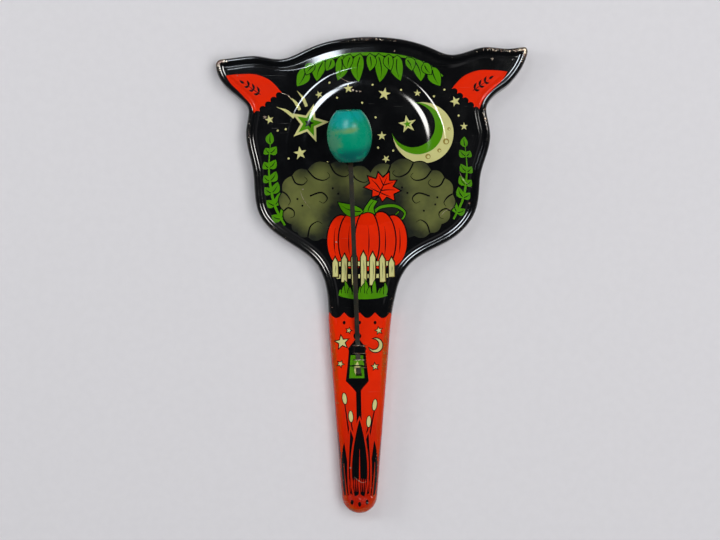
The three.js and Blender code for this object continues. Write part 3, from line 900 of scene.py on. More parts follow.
    def lantern_post(self) -> None:
        """Print the lantern on its post down the middle of the handle, with a star, a crescent and reeds."""
        self.lay_outlined(Ink.CREAM, star(-11.7, -94, 3.1, 9), 0.5)
        self.lay_outlined(Ink.CREAM, crescent(4.4, -95.4, 3.3, -24), 0.5)
        for x, y, reach in ((6, -88.4, 1.5), (4.2, -105.6, 1.5), (-12.4, -104.4, 1.4), (-8.4, -88.4, 1.1)):
            self.lay_outlined(Ink.CREAM, star(x, y, reach, x * 2), 0.4)
        self.strokes(Ink.BLACK, 2.4, 1, 1, [(-3.9, -108), (-3.6, -124), (-3.3, -140)])
        case = [
            (-9.2, -97.6), (-4.3, -91.4), (-4.3, -91.4), (0.6, -97.6), (0.6, -97.6), (-0.4, -98.4),
            (1.2, -112.6), (1.2, -112.6), (-1.6, -115.8), (-3.9, -118.6), (-6.6, -115.8), (-9.8, -112.6),
            (-9.8, -112.6), (-8.4, -98.4), (-9.2, -97.6),
        ]
        self.lay(Ink.BLACK, flowing(case, True, 0.9), oval(-4.3, -91, 1.9, 1.7))
        self.lay(Ink.ORANGE, oval(-4.3, -90.7, 0.9, 0.8))
        self.lay(Ink.GREEN, np.array([(-7.5, -100.2), (-1.5, -100.2), (-0.9, -111.2), (-8.2, -111.2)]))
        self.lay(Ink.CREAM, leaf((-4.4, -110.2), (-4.2, -103), 2.6, 0.02))
        self.strokes(Ink.BLACK, 0.7, 1, 1, [(-7.9, -105.4), (-4.4, -105.2), (-1, -105.4)])
        reeds = ((-6.6, -10.4, -121, 8), (-5.6, -7.4, -129.6, 4), (0, 4, -124, -8), (-0.8, 1.2, -132, -4))
        for foot, x, y, lean in reeds:
            self.strokes(Ink.BLACK, 0.75, 1, 0.7, [(foot, -152), (foot * 0.6 + x * 0.4, -139), (x, y - 2)])
            self.lay_outlined(Ink.CREAM, oval(x, y, 0.95, 2.6, lean), 0.4)

    def tussock(self) -> None:
        """Print the dark tussock of broad leaves at the post's foot, out to the edges of the handle."""
        blades = (
            ((-11.6, -172), (-14.4, -136.5), 6.4, 0.05), ((5.2, -172), (8.6, -138.5), 6.4, -0.05),
            ((-8.6, -171.5), (-10.6, -142), 4.2, 0.03), ((2.2, -171.5), (3.8, -141), 4.2, -0.03),
            ((-6.2, -172.6), (-7.6, -136), 5.2, -0.03), ((-0.2, -172.6), (1, -137.5), 5.2, 0.03),
            ((-3.2, -173.4), (-3.2, -131), 7.4, 0.0),
        )
        for base, tip, width, bow in blades:
            self.lay(Ink.ORANGE, grown(leaf(base, tip, width, bow), 0.8))
            self.lay(Ink.BLACK, leaf(base, tip, width, bow))
            self.lay(Ink.ORANGE, midrib(base, tip, 0.7, bow, 0.66))
        self.swags(Ink.ORANGE, -15, 9, -166.4, 1.3, 4.2)
        self.dots(Ink.BLACK, 0.75, 1.2, (-6.8, -170.6), (-3.2, -171.6), (0.4, -170.6))

    def chips(self) -> None:
        """Chip and scratch the print down to the metal in the places where knocks have done it."""
        flakes = (
            (-48.6, 13.8, 0.8, 4), (-6.4, 26.4, 0.55, 2), (-4.6, 26, 0.4, 5), (-3, 25.8, 0.5, 1),
            (57.2, 13.2, 0.6, 3), (49.4, -27.4, 0.5, 6), (-30.4, -20.8, 0.45, 7), (60.4, 41.8, 0.6, 8),
            (-14.4, -46, 0.4, 9), (13.6, 45.6, 0.45, 10), (-3, -160.6, 0.5, 11), (2.4, -163.8, 0.4, 12),
            (-7.6, -154, 0.45, 13), (-61.8, 33.8, 0.5, 14),
        )
        corners = 11
        for x, y, size, seed in flakes:
            rough = 1 + 0.45 * np.sin(np.arange(corners) * (1.7 + 0.31 * seed))
            reach = np.stack([size * rough, size * 0.8 * rough], axis=1)
            self.lay(Ink.CHIPPED, circle(corners) * reach + (x, y))
        for x in np.linspace(-8.4, 2, 13):
            self.strokes(Ink.ORANGE, 0.5, 0.1, 0.3, [(x, -157.6 - (x * 7) % 3), (x + 0.2, -161), (x, -165.6)])
        self.strokes(
            Ink.CHIPPED, 0.22, 0.2, 0.2,
            [(-31.6, -21.4), (-30.2, -25.4), (-26.6, -30.2)], [(44.6, -12.4), (46.8, -16.6), (50.2, -19.8)],
            [(-14, 33.8), (-9.8, 31), (-6.4, 30.4)], [(34.8, -34.4), (38, -31), (42.4, -29)],
            [(-41, 25.4), (-37.2, 24), (-34.4, 20.6)], [(-5.8, -158.4), (-2.4, -161.2), (0.8, -160.4)],
        )

    def airbrush(self, places: np.ndarray) -> np.ndarray:
        """Tell how dark the airbrushed shading is at each place.

        Args:
            places: The places, in mm.

        Returns:
            0 where the ink is at its lightest, 1 where it is darkest.
        """
        light = sum(fading(places, (x, y), reach) for x, y, reach in self.clouds_lit)
        return 1 - np.clip(light, 0, 1)


# Making meshes and objects


def put_in_scene(name: str, data: bpy.types.ID) -> bpy.types.Object:
    """Make the object of a mesh, a lamp or a camera, in the scene."""
    made = bpy.data.objects.new(name, data)
    bpy.context.scene.collection.objects.link(made)
    return made


def quads(near: np.ndarray, far: np.ndarray) -> np.ndarray:
    """Join two closed rows of point indices by four-sided faces."""
    return np.stack([near, np.roll(near, -1), np.roll(far, -1), far], axis=1)


@dataclass
class MeshWork:
    """Gathers the points, facings and faces of one piece, in mm, and makes its object."""

    places: list[np.ndarray] = field(default_factory=list)
    facing: list[np.ndarray] = field(default_factory=list)
    marks: dict[str, list[np.ndarray]] = field(default_factory=dict)
    faces: list[tuple[int, ...]] = field(default_factory=list)
    slots: list[int] = field(default_factory=list)
    count: int = 0

    def add_points(self, places: np.ndarray, facing: np.ndarray, **marks: np.ndarray | float) -> np.ndarray:
        """Add points.

        Args:
            places: Their places.
            facing: Their unit normals.
            marks: Named values that the finishes read, one for each point or one for all.

        Returns:
            The points' indices.
        """
        for name in marks:
            self.marks.setdefault(name, [np.zeros(self.count)])
        for name, store in self.marks.items():
            store.append(np.broadcast_to(np.asarray(marks.get(name, 0), dtype=float), (len(places),)))
        self.places.append(places)
        self.facing.append(facing)
        self.count += len(places)
        return np.arange(self.count - len(places), self.count)

    def add_faces(self, faces: np.ndarray, slots: np.ndarray | int) -> None:
        """Add faces by their points' indices, with the material slot of each or of all."""
        self.faces += [tuple(face) for face in faces.tolist()]
        self.slots += np.broadcast_to(slots, (len(faces),)).tolist()

    def add_rows(self, rows: list[np.ndarray], slots: np.ndarray | int = 0) -> None:
        """Join closed rows of point indices by faces, with the material slot of each column or of all."""
        for upper, lower in zip(rows[:-1], rows[1:]):
            self.add_faces(quads(lower, upper), slots)

    def make(
        self, name: str, finishes: list[bpy.types.Material], shift: tuple[float, float, float]
    ) -> bpy.types.Object:
        """Make the piece's object.

        Args:
            name: Its name.
            finishes: The materials of its slots.
            shift: What is added to every place, in mm.

        Returns:
            The object, in the scene.
        """
        mesh = bpy.data.meshes.new(name)
        mesh.from_pydata(((np.concatenate(self.places) + shift) * MM).tolist(), [], self.faces)
        for finish in finishes:
            mesh.materials.append(finish)
        mesh.polygons.foreach_set("material_index", np.array(self.slots, dtype=np.int32))
        for label, values in self.marks.items():
            mark = mesh.attributes.new(label, "FLOAT", "POINT")
            mark.data.foreach_set("value", np.concatenate(values).astype(np.float32))
        mesh.shade_smooth()
        mesh.normals_split_custom_set_from_vertices(np.concatenate(self.facing).tolist())
        mesh.update()
        return put_in_scene(name, mesh)


# Finishes


def linear(red: float, green: float, blue: float) -> tuple[float, float, float, float]:
    """Turn a colour as it is read off a screen, from 0 to 255, into Blender's own."""
    values = [value / 255 for value in (red, green, blue)]
    return (*(v / 12.92 if v <= 0.04045 else ((v + 0.055) / 1.055) ** 2.4 for v in values), 1.0)


@dataclass(frozen=True)
class Grain:
    """Cloudy noise. A stretch gives it a direction: how many clouds fit in a metre along each axis."""

    scale: float
    detail: float = 2
    rough: float = 0.5
    warp: float = 0
    stretch: tuple[float, float, float] | None = None
    turn: float = 0


Colour = tuple[float, float, float, float]
Socket = bpy.types.NodeSocket
Value = Socket | float | Colour
Inputs = dict[str | int, Value]


class NodeDesk:
    """Lays out the nodes of one material."""

    def __init__(self, name: str) -> None:
        """Start a material with its shader."""
        self.material = bpy.data.materials.new(name)
        self.material.use_nodes = True
        self.tree = self.material.node_tree
        self.shader = next(node for node in self.tree.nodes if node.type == "BSDF_PRINCIPLED")
        self.place = self.add("TexCoord").outputs["Object"]

    def add(self, kind: str, inputs: Inputs | None = None, **settings: object) -> bpy.types.Node:
        """Add a node.

        Args:
            kind: Its kind, as Blender's own name says after ShaderNode.
            inputs: What feeds its sockets, by their names or numbers.
            settings: Its own settings.

        Returns:
            The node.
        """
        node = self.tree.nodes.new("ShaderNode" + kind)
        for name, value in settings.items():
            setattr(node, name, value)
        self.feed(node, inputs or {})
        return node

    def feed(self, node: bpy.types.Node, inputs: Inputs) -> None:
        """Link or set a node's sockets, by their names or numbers."""
        for name, value in inputs.items():
            if isinstance(value, bpy.types.NodeSocket):
                self.tree.links.new(value, node.inputs[name])
            else:
                node.inputs[name].default_value = value

    def mark(self, name: str) -> Socket:
        """Read one of the mesh's own marks."""
        return self.add("Attribute", attribute_name=name).outputs["Fac"]

    def noise(self, grain: Grain) -> Socket:
        """Add cloudy noise, mostly between 0.3 and 0.7."""
        place = self.place
        if grain.stretch:
            turn = {"Vector": place, "Scale": grain.stretch, "Rotation": (0, 0, grain.turn)}
            place = self.add("Mapping", turn).outputs["Vector"]
        inputs = {"Vector": place, "Scale": grain.scale, "Detail": grain.detail}
        inputs |= {"Roughness": grain.rough, "Distortion": grain.warp}
        return self.add("TexNoise", inputs).outputs["Fac"]

    def graded(self, value: Socket, low: float, high: float, start: float = 0, end: float = 1) -> Socket:
        """Grade a value smoothly: start at low, end at high."""
        inputs = {"Value": value, "From Min": low, "From Max": high, "To Min": start, "To Max": end}
        return self.add("MapRange", inputs, interpolation_type="SMOOTHSTEP").outputs["Result"]

    def sum(self, kind: str, a: Socket | float, b: Socket | float) -> Socket:
        """Work out one sum, kept between 0 and 1."""
        return self.add("Math", {0: a, 1: b}, operation=kind, use_clamp=True).outputs[0]

    def plus(self, a: Socket | float, b: Socket | float) -> Socket:
        """Add one value to another."""
        return self.sum("ADD", a, b)

    def times(self, a: Socket, b: Socket | float) -> Socket:
        """Multiply one value by another."""
        return self.sum("MULTIPLY", a, b)

    def weighed(self, a: Socket, b: Socket, share: float) -> Socket:
        """Mix two values by the share of the first."""
        return self.plus(self.times(a, share), self.times(b, 1 - share))

    def mixed(self, share: Socket | float, a: Socket | Colour, b: Socket | Colour) -> Socket:
        """Mix two colours."""
        share_in, a_in, b_in, colour_out = 0, 6, 7, 2
        return self.add("Mix", {share_in: share, a_in: a, b_in: b}, data_type="RGBA").outputs[colour_out]

    def bumped(self, height: Socket, depth: float, under: Socket | None = None) -> Socket:
        """Raise the surface by a height of up to depth metres."""
        inputs = {"Strength": 1, "Distance": depth, "Height": height} | ({"Normal": under} if under else {})
        return self.add("Bump", inputs).outputs["Normal"]

    def finish(self, **inputs: Value) -> bpy.types.Material:
        """Feed the shader by the names of its sockets, with _ for a space, and give back the material."""
        self.feed(self.shader, {name.replace("_", " "): value for name, value in inputs.items()})
        return self.material


@dataclass(frozen=True)
class PrintedInk:
    """One of the printer's inks under varnish on tinplate, worn to metal and rust where it is rubbed."""

    name: str
    ink: Colour
    deep: Colour
    mottle: float = 0.1
    fleck_threshold: float = 0.73
    airbrush: str = ""
    rough: float = 0.085
    gloss: float = 0.5
    rubbed: Colour = linear(20, 19, 18)
    metal: Colour = linear(146, 134, 118)
    rust: Colour = linear(92, 56, 34)
    hair: Colour = linear(150, 148, 140)
    clouds: Grain = Grain(90, 3, 0.6)
    hairs: Grain = Grain(1, 2, 0.5, 1.6, (48, 2200, 48), 0.9)
    drag: Grain = Grain(1, 3, 0.6, 0.4, (700, 70, 700))
    flakes: Grain = Grain(760, 4, 0.62)
    fine_flakes: Grain = Grain(2300, 2, 0.5)
    ageing: Grain = Grain(430, 3, 0.6)
    crimps: Grain = Grain(260, 1, 0.4)
    dents: Grain = Grain(52, 2, 0.45)
    peel: Grain = Grain(2600, 2)
    crimp_depth: float = 0.0013
    dent_depth: float = 0.00005
    peel_depth: float = 0.0000015
    varnish_depth: float = 0.000012
    varnish_ior: float = 1.48

    def material(self) -> bpy.types.Material:
        """Make its material."""
        desk = NodeDesk(self.name)
        cloud, rub, crimp = desk.noise(self.clouds), desk.mark("Rub"), desk.mark("Crimp")
        tone = desk.graded(cloud, 0.4, 0.75, 0, self.mottle)
        tone = desk.plus(desk.mark(self.airbrush), tone) if self.airbrush else tone
        ink = desk.mixed(tone, self.ink, self.deep)
        hairs = desk.graded(desk.noise(self.hairs), 0.73, 0.77)
        ink = desk.mixed(desk.times(hairs, 0.12), ink, self.hair)
        thinned = desk.plus(rub, desk.times(desk.noise(self.drag), 0.6))
        ink = desk.mixed(desk.graded(thinned, 0.35, 0.95), ink, self.rubbed)
        flaking = desk.weighed(desk.noise(self.flakes), desk.noise(self.fine_flakes), 0.62)
        flaking = desk.plus(flaking, desk.times(rub, 0.34))
        bare = desk.graded(flaking, self.fleck_threshold - 0.035, self.fleck_threshold + 0.02)
        age = desk.graded(desk.noise(self.ageing), 0.44, 0.6)
        normal = desk.bumped(desk.times(crimp, desk.noise(self.crimps)), self.crimp_depth)
        normal = desk.bumped(desk.noise(self.dents), self.dent_depth, normal)
        normal = desk.bumped(desk.noise(self.peel), self.peel_depth, normal)
        varnish_rough = desk.graded(cloud, 0.35, 0.7, self.rough, self.rough + 0.05)
        return desk.finish(
            Base_Color=desk.mixed(bare, ink, desk.mixed(age, self.metal, self.rust)),
            Metallic=desk.times(bare, desk.graded(age, 0, 1, 0.85, 0.15)),
            Roughness=desk.plus(desk.plus(varnish_rough, desk.times(hairs, 0.14)), desk.times(bare, 0.26)),
            Normal=desk.bumped(desk.sum("SUBTRACT", 1, bare), self.varnish_depth, normal),
            IOR=self.varnish_ior,
            Specular_IOR_Level=desk.plus(self.gloss, desk.times(crimp, 0.4)),
        )


@dataclass(frozen=True)
class BareTinplate:
    """The unprinted side of the tinplate: dull, stained metal with rust along its edges."""

    name: str
    bright: Colour = linear(170, 164, 150)
    stain: Colour = linear(116, 98, 70)
    streak: Colour = linear(88, 80, 66)
    rust: Colour = linear(96, 54, 30)
    rust_from: float = 0.6
    stains: Grain = Grain(38, 4, 0.6, 0.6)
    rolled: Grain = Grain(1, 3, 0.55, 0, (90, 2600, 90))
    pits: Grain = Grain(300, 5, 0.66)
    patches: Grain = Grain(36, 3, 0.5)
    dents: Grain = Grain(52, 2, 0.45)
    dent_depth: float = 0.00005
    rolled_depth: float = 0.000002
    rust_depth: float = 0.00001

    def material(self) -> bpy.types.Material:
        """Make its material."""
        desk = NodeDesk(self.name)
        stain, rolled = desk.graded(desk.noise(self.stains), 0.38, 0.66), desk.noise(self.rolled)
        tin = desk.mixed(desk.times(stain, 0.75), self.bright, self.stain)
        tin = desk.mixed(desk.graded(rolled, 0.35, 0.7, 0, 0.22), tin, self.streak)
        rusting = desk.weighed(desk.noise(self.pits), desk.noise(self.patches), 0.7)
        rusting = desk.plus(rusting, desk.times(desk.mark("Rub"), 0.16))
        rust = desk.graded(rusting, self.rust_from, self.rust_from + 0.08)
        normal = desk.bumped(rolled, self.rolled_depth, desk.bumped(desk.noise(self.dents), self.dent_depth))
        return desk.finish(
            Base_Color=desk.mixed(rust, tin, self.rust),
            Metallic=desk.graded(rust, 0, 1, 0.92, 0.1),
            Roughness=desk.plus(desk.graded(stain, 0, 1, 0.34, 0.46), desk.times(rust, 0.35)),
            Normal=desk.bumped(rust, self.rust_depth, normal),
        )


@dataclass(frozen=True)
class SpringSteel:
    """Flat spring strip: dark brown oxide over steel, drawn lengthwise and rubbed on its edges."""

    name: str = "oxidised_spring_steel"
    oxide: Colour = linear(25, 26, 18)
    brown: Colour = linear(43, 35, 21)
    dark: Colour = linear(19, 18, 16)
    steel: Colour = linear(150, 146, 140)
    drawn: Grain = Grain(1, 3, 0.6, 0, (5200, 120, 5200))
    patches: Grain = Grain(210, 4, 0.62, 0.3)
    flecks: Grain = Grain(900, 3, 0.6)
    drawn_depth: float = 0.000006
    patch_depth: float = 0.00001

    def material(self) -> bpy.types.Material:
        """Make its material."""
        desk = NodeDesk(self.name)
        drawn, patch = desk.noise(self.drawn), desk.noise(self.patches)
        coat = desk.mixed(desk.graded(patch, 0.4, 0.62), self.oxide, self.brown)
        coat = desk.mixed(desk.graded(drawn, 0.42, 0.72, 0, 0.4), coat, self.dark)
        worn = desk.plus(desk.times(desk.noise(self.flecks), 0.8), desk.times(desk.mark("Rub"), 0.16))
        bare = desk.graded(worn, 0.55, 0.66)
        return desk.finish(
            Base_Color=desk.mixed(bare, coat, self.steel),
            Metallic=desk.graded(bare, 0, 1, 0.3, 0.95),
            Specular_IOR_Level=0.3,
            Roughness=desk.graded(drawn, 0.35, 0.7, 0.42, 0.6),
            Normal=desk.bumped(drawn, self.drawn_depth, desk.bumped(patch, self.patch_depth)),
        )


@dataclass(frozen=True)
class WornBallPaint:
    """Teal paint on turned wood: thick and deep in places, faded bluer, rubbed thin to the pale wood, and
    darkened by painted shade towards its lower end and down its right side.
    """

    name: str = "teal_paint_on_turned_wood"
    teal: Colour = linear(0, 142, 108)
    blue: Colour = linear(0, 152, 145)
    # The deep teal, used both for darker rings in the paint and for the painted shade.
    deep: Colour = linear(0, 92, 86)
    chalky: Colour = linear(72, 132, 100)
    thin: Colour = linear(100, 146, 84)
    wood: Colour = linear(186, 176, 112)
    late_wood: Colour = linear(150, 132, 76)
    soft: Grain = Grain(170, 4, 0.6, 0.4)
    fine: Grain = Grain(900, 4, 0.62)
    rings: Grain = Grain(1, 3, 0.6, 0.3, (260, 1500, 260))
    grain: Grain = Grain(1, 3, 0.6, 0.2, (1900, 150, 1900))
    pore_depth: float = 0.00002
    turning_depth: float = 0.000018
    paint_depth: float = 0.00005
    paint_ior: float = 1.48

    def material(self) -> bpy.types.Material:
        """Make its material."""
        desk = NodeDesk(self.name)
        fine, ring, grain = desk.noise(self.fine), desk.noise(self.rings), desk.noise(self.grain)
        blotch = desk.graded(desk.weighed(desk.noise(self.soft), fine, 0.6), 0.38, 0.62)
        streak = desk.graded(desk.weighed(ring, fine, 0.55), 0.3, 0.7)

        def patch(mark: str, low: float, high: float, broken: Socket = blotch) -> Socket:
            """Break one of the ball's marks up."""
            return desk.graded(desk.times(desk.mark(mark), desk.plus(broken, 0.5)), low, high)

        thin, bare = patch("Thin", 0.14, 0.9, streak), patch("Bare", 0.62, 0.8, streak)
        paint = desk.mixed(patch("Blue", 0.1, 0.85), self.teal, self.blue)
        # Painted shade: deeper teal towards the lower end and down the right side.
        paint = desk.mixed(patch("Deep", 0.1, 1.0), paint, self.deep)
        paint = desk.mixed(desk.times(patch("Chalky", 0.2, 0.85), 0.8), paint, self.chalky)
        paint = desk.mixed(desk.graded(ring, 0.45, 0.75, 0, 0.12), paint, self.deep)
        paint = desk.mixed(desk.times(thin, 0.85), paint, self.thin)
        wood = desk.mixed(desk.graded(grain, 0.4, 0.62), self.wood, self.late_wood)
        normal = desk.bumped(ring, self.turning_depth, desk.bumped(grain, self.pore_depth))
        paint_rough = desk.graded(blotch, 0, 1, 0.24, 0.33)
        return desk.finish(
            Base_Color=desk.mixed(bare, paint, wood),
            Roughness=desk.plus(paint_rough, desk.times(desk.plus(thin, bare), 0.2)),
            Normal=desk.bumped(desk.sum("SUBTRACT", 1, bare), self.paint_depth, normal),
            IOR=self.paint_ior,
            Specular_IOR_Level=0.11,
        )


@dataclass(frozen=True)
class PaleSweep:
    """The plain pale paper that the clacker lies on."""

    name: str = "pale_paper"
    paper: Colour = linear(222, 221, 225)
    fibre: Colour = linear(217, 216, 220)
    fibres: Grain = Grain(240, 3, 0.5)

    def material(self) -> bpy.types.Material:
        """Make its material."""
        desk = NodeDesk(self.name)
        tone = desk.mixed(desk.graded(desk.noise(self.fibres), 0.3, 0.7, 0, 0.35), self.paper, self.fibre)
        return desk.finish(Base_Color=tone, Roughness=0.9, Specular_IOR_Level=0.2)


# The pieces


@dataclass
class Placing:
    """Moves the drawing's places, round the disc's middle, to where the model lies."""

    outline: Outline

    def shift(self) -> tuple[float, float, float]:
        """Find what is added to every place of the drawing, in mm, from the pressed sheet's own box."""
        low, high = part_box("tin_body")
        plan = self.outline.line().points
        return (
            ((low.x + high.x) / MM - plan[:, 0].max() - plan[:, 0].min()) / 2,
            ((low.y + high.y) / MM - plan[:, 1].max() - plan[:, 1].min()) / 2,
            low.z / MM,
        )


@dataclass
class FlatSpring:
    """The flat spring strip, threaded under the straps, hooked through the slot, and bent up to the ball."""

    width: float = 2.2
    thickness: float = 0.5
    mouth: Spot = (-4.1, -95.3)
    lean: float = 2.2
    bend_radius: float = 30
    tail: float = 4.5
    edge_round: float = 0.14
    seat: float = 0.2
    slide: float = 0.3
    slot_y: float = -108.9
    ball_reach: float = 98.9
    ball_gap: float = 3
    end_in_ball: float = 10.8
    free_steps: int = 58
    bend_ends_at: Spot = (62, 4)

    def heights(self, section: PressedSection, ball_radius: float) -> tuple[float, float, float]:
        """Find how high the strip lies on the sheet, how high its tail lies, and the ball's middle."""
        lying = section.face_z + self.seat + self.thickness / 2
        tail = section.face_z - section.sheet - self.slide - self.thickness / 2
        return lying, tail, section.face_z + section.disc_rise + self.ball_gap + ball_radius

    def pitch(self, section: PressedSection, ball_radius: float) -> float:
        """Find how steeply the strip rises towards the ball, in radians."""
        lying, _, ball_z = self.heights(section, ball_radius)
        rise = ball_z - lying - self.bend_radius
        turn = math.asin(self.bend_radius / math.hypot(self.ball_reach, rise))
        return math.atan2(rise, self.ball_reach) + turn

    def direction(self) -> tuple[np.ndarray, np.ndarray]:
        """Find the plan's directions along the strip and across it."""
        lean = math.radians(self.lean)
        return np.array([-math.sin(lean), math.cos(lean)]), np.array([math.cos(lean), math.sin(lean)])

    def side_line(self, section: PressedSection, ball_radius: float) -> np.ndarray:
        """Draw the strip's middle line from the side, as distance from the mouth and height.

        Args:
            section: The sheet's section.
            ball_radius: The ball's radius, in mm.

        Returns:
            The line's points, from the tail to the end in the ball.
        """
        lying, tail_z, ball_z = self.heights(section, ball_radius)
        pitch, bend = self.pitch(section, ball_radius), self.bend_radius
        slot = (self.slot_y - self.mouth[1]) / math.cos(math.radians(self.lean))
        radius, middle = (lying - tail_z) / 2, (lying + tail_z) / 2
        tail = [(slot + self.tail - k * self.tail / 5, tail_z) for k in range(5)]
        hook = [
            (slot + radius * math.cos(-math.pi / 2 - a), middle + radius * math.sin(-math.pi / 2 - a))
            for a in np.linspace(0, math.pi, 15)
        ]
        flat = [(s, lying) for s in np.linspace(slot, 0, 12)[1:-1]]
        rise = [(bend * math.sin(a), lying + bend * (1 - math.cos(a))) for a in np.linspace(0, pitch, 9)]
        start = np.array(rise[-1])
        inside_ball = self.end_in_ball * np.array([math.cos(pitch), math.sin(pitch)])
        run = np.array([self.ball_reach, ball_z]) + inside_ball - start
        free = [start + run * k / self.free_steps for k in range(1, self.free_steps + 1)]
        return np.array([*tail, *hook, *flat, *rise, *free])

    def ring(self) -> tuple[np.ndarray, np.ndarray, np.ndarray]:
        """Draw the strip's own section, with rounded edges.

        Returns:
            Its points' distances across, their heights, and the angles that they face.
        """
        r, rows = self.edge_round, []
        for sx, sz, start in ((1, 1, 0), (-1, 1, 90), (-1, -1, 180), (1, -1, 270)):
            for a in (math.radians(start + turn) for turn in (0, 30, 60, 90)):
                across = sx * (self.width / 2 - r) + r * math.cos(a)
                rows.append((across, sz * (self.thickness / 2 - r) + r * math.sin(a), a))
        return tuple(np.array(rows).T)

    def build(self, section: PressedSection, ball_radius: float, placing: Placing) -> bpy.types.Object:
        """Build the strip.

        Args:
            section: The sheet's section.
            ball_radius: The ball's radius, in mm.
            placing: Where the drawing lies in the model.

        Returns:
            The strip, bending between the pan and the ball.
        """
        line = self.side_line(section, ball_radius)
        along, across = self.direction()
        wide, up, turn = self.ring()
        edge_rub, strap_rub, end_rub, rubbed_reach = 0.55, 0.35, 0.6, 3
        on_edge = abs(wide) > self.width / 2 - self.edge_round * 0.7
        work = MeshWork()
        rows = []
        for (s, z), (ds, dz) in zip(line, unit(np.gradient(line, axis=0))):
            plan = np.array(self.mouth) + along * (s - dz * up)[:, None] + across * wide[:, None]
            level = across * np.cos(turn)[:, None] - along * (dz * np.sin(turn))[:, None]
            facing = np.column_stack([level, ds * np.sin(turn)])
            rub = edge_rub * on_edge + strap_rub * (abs(s + 2) < rubbed_reach)
            rows.append(work.add_points(np.column_stack([plan, z + ds * up]), facing, Rub=rub))
        work.add_rows(rows)
        # The tail's end has a face to either side, and the end that is hidden in the ball stays open
        for way in (1, -1):
            facing = np.tile((*(-way * along), 0), (len(wide), 1))
            work.add_faces(work.add_points(work.places[0], facing, Rub=end_rub)[None, ::way], 0)
        piece = work.make("flat_spring", [SpringSteel().material()], placing.shift())
        shift, lying = np.array(placing.shift()), self.heights(section, ball_radius)[0]
        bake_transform(piece)
        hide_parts("spring_strip")
        return piece


@dataclass(frozen=True)
class PaintPatch:
    """A soft oval patch on the ball's front: its middle and half sizes, as shares of the ball's."""

    x: float
    y: float
    wide: float
    high: float
    strength: float = 1


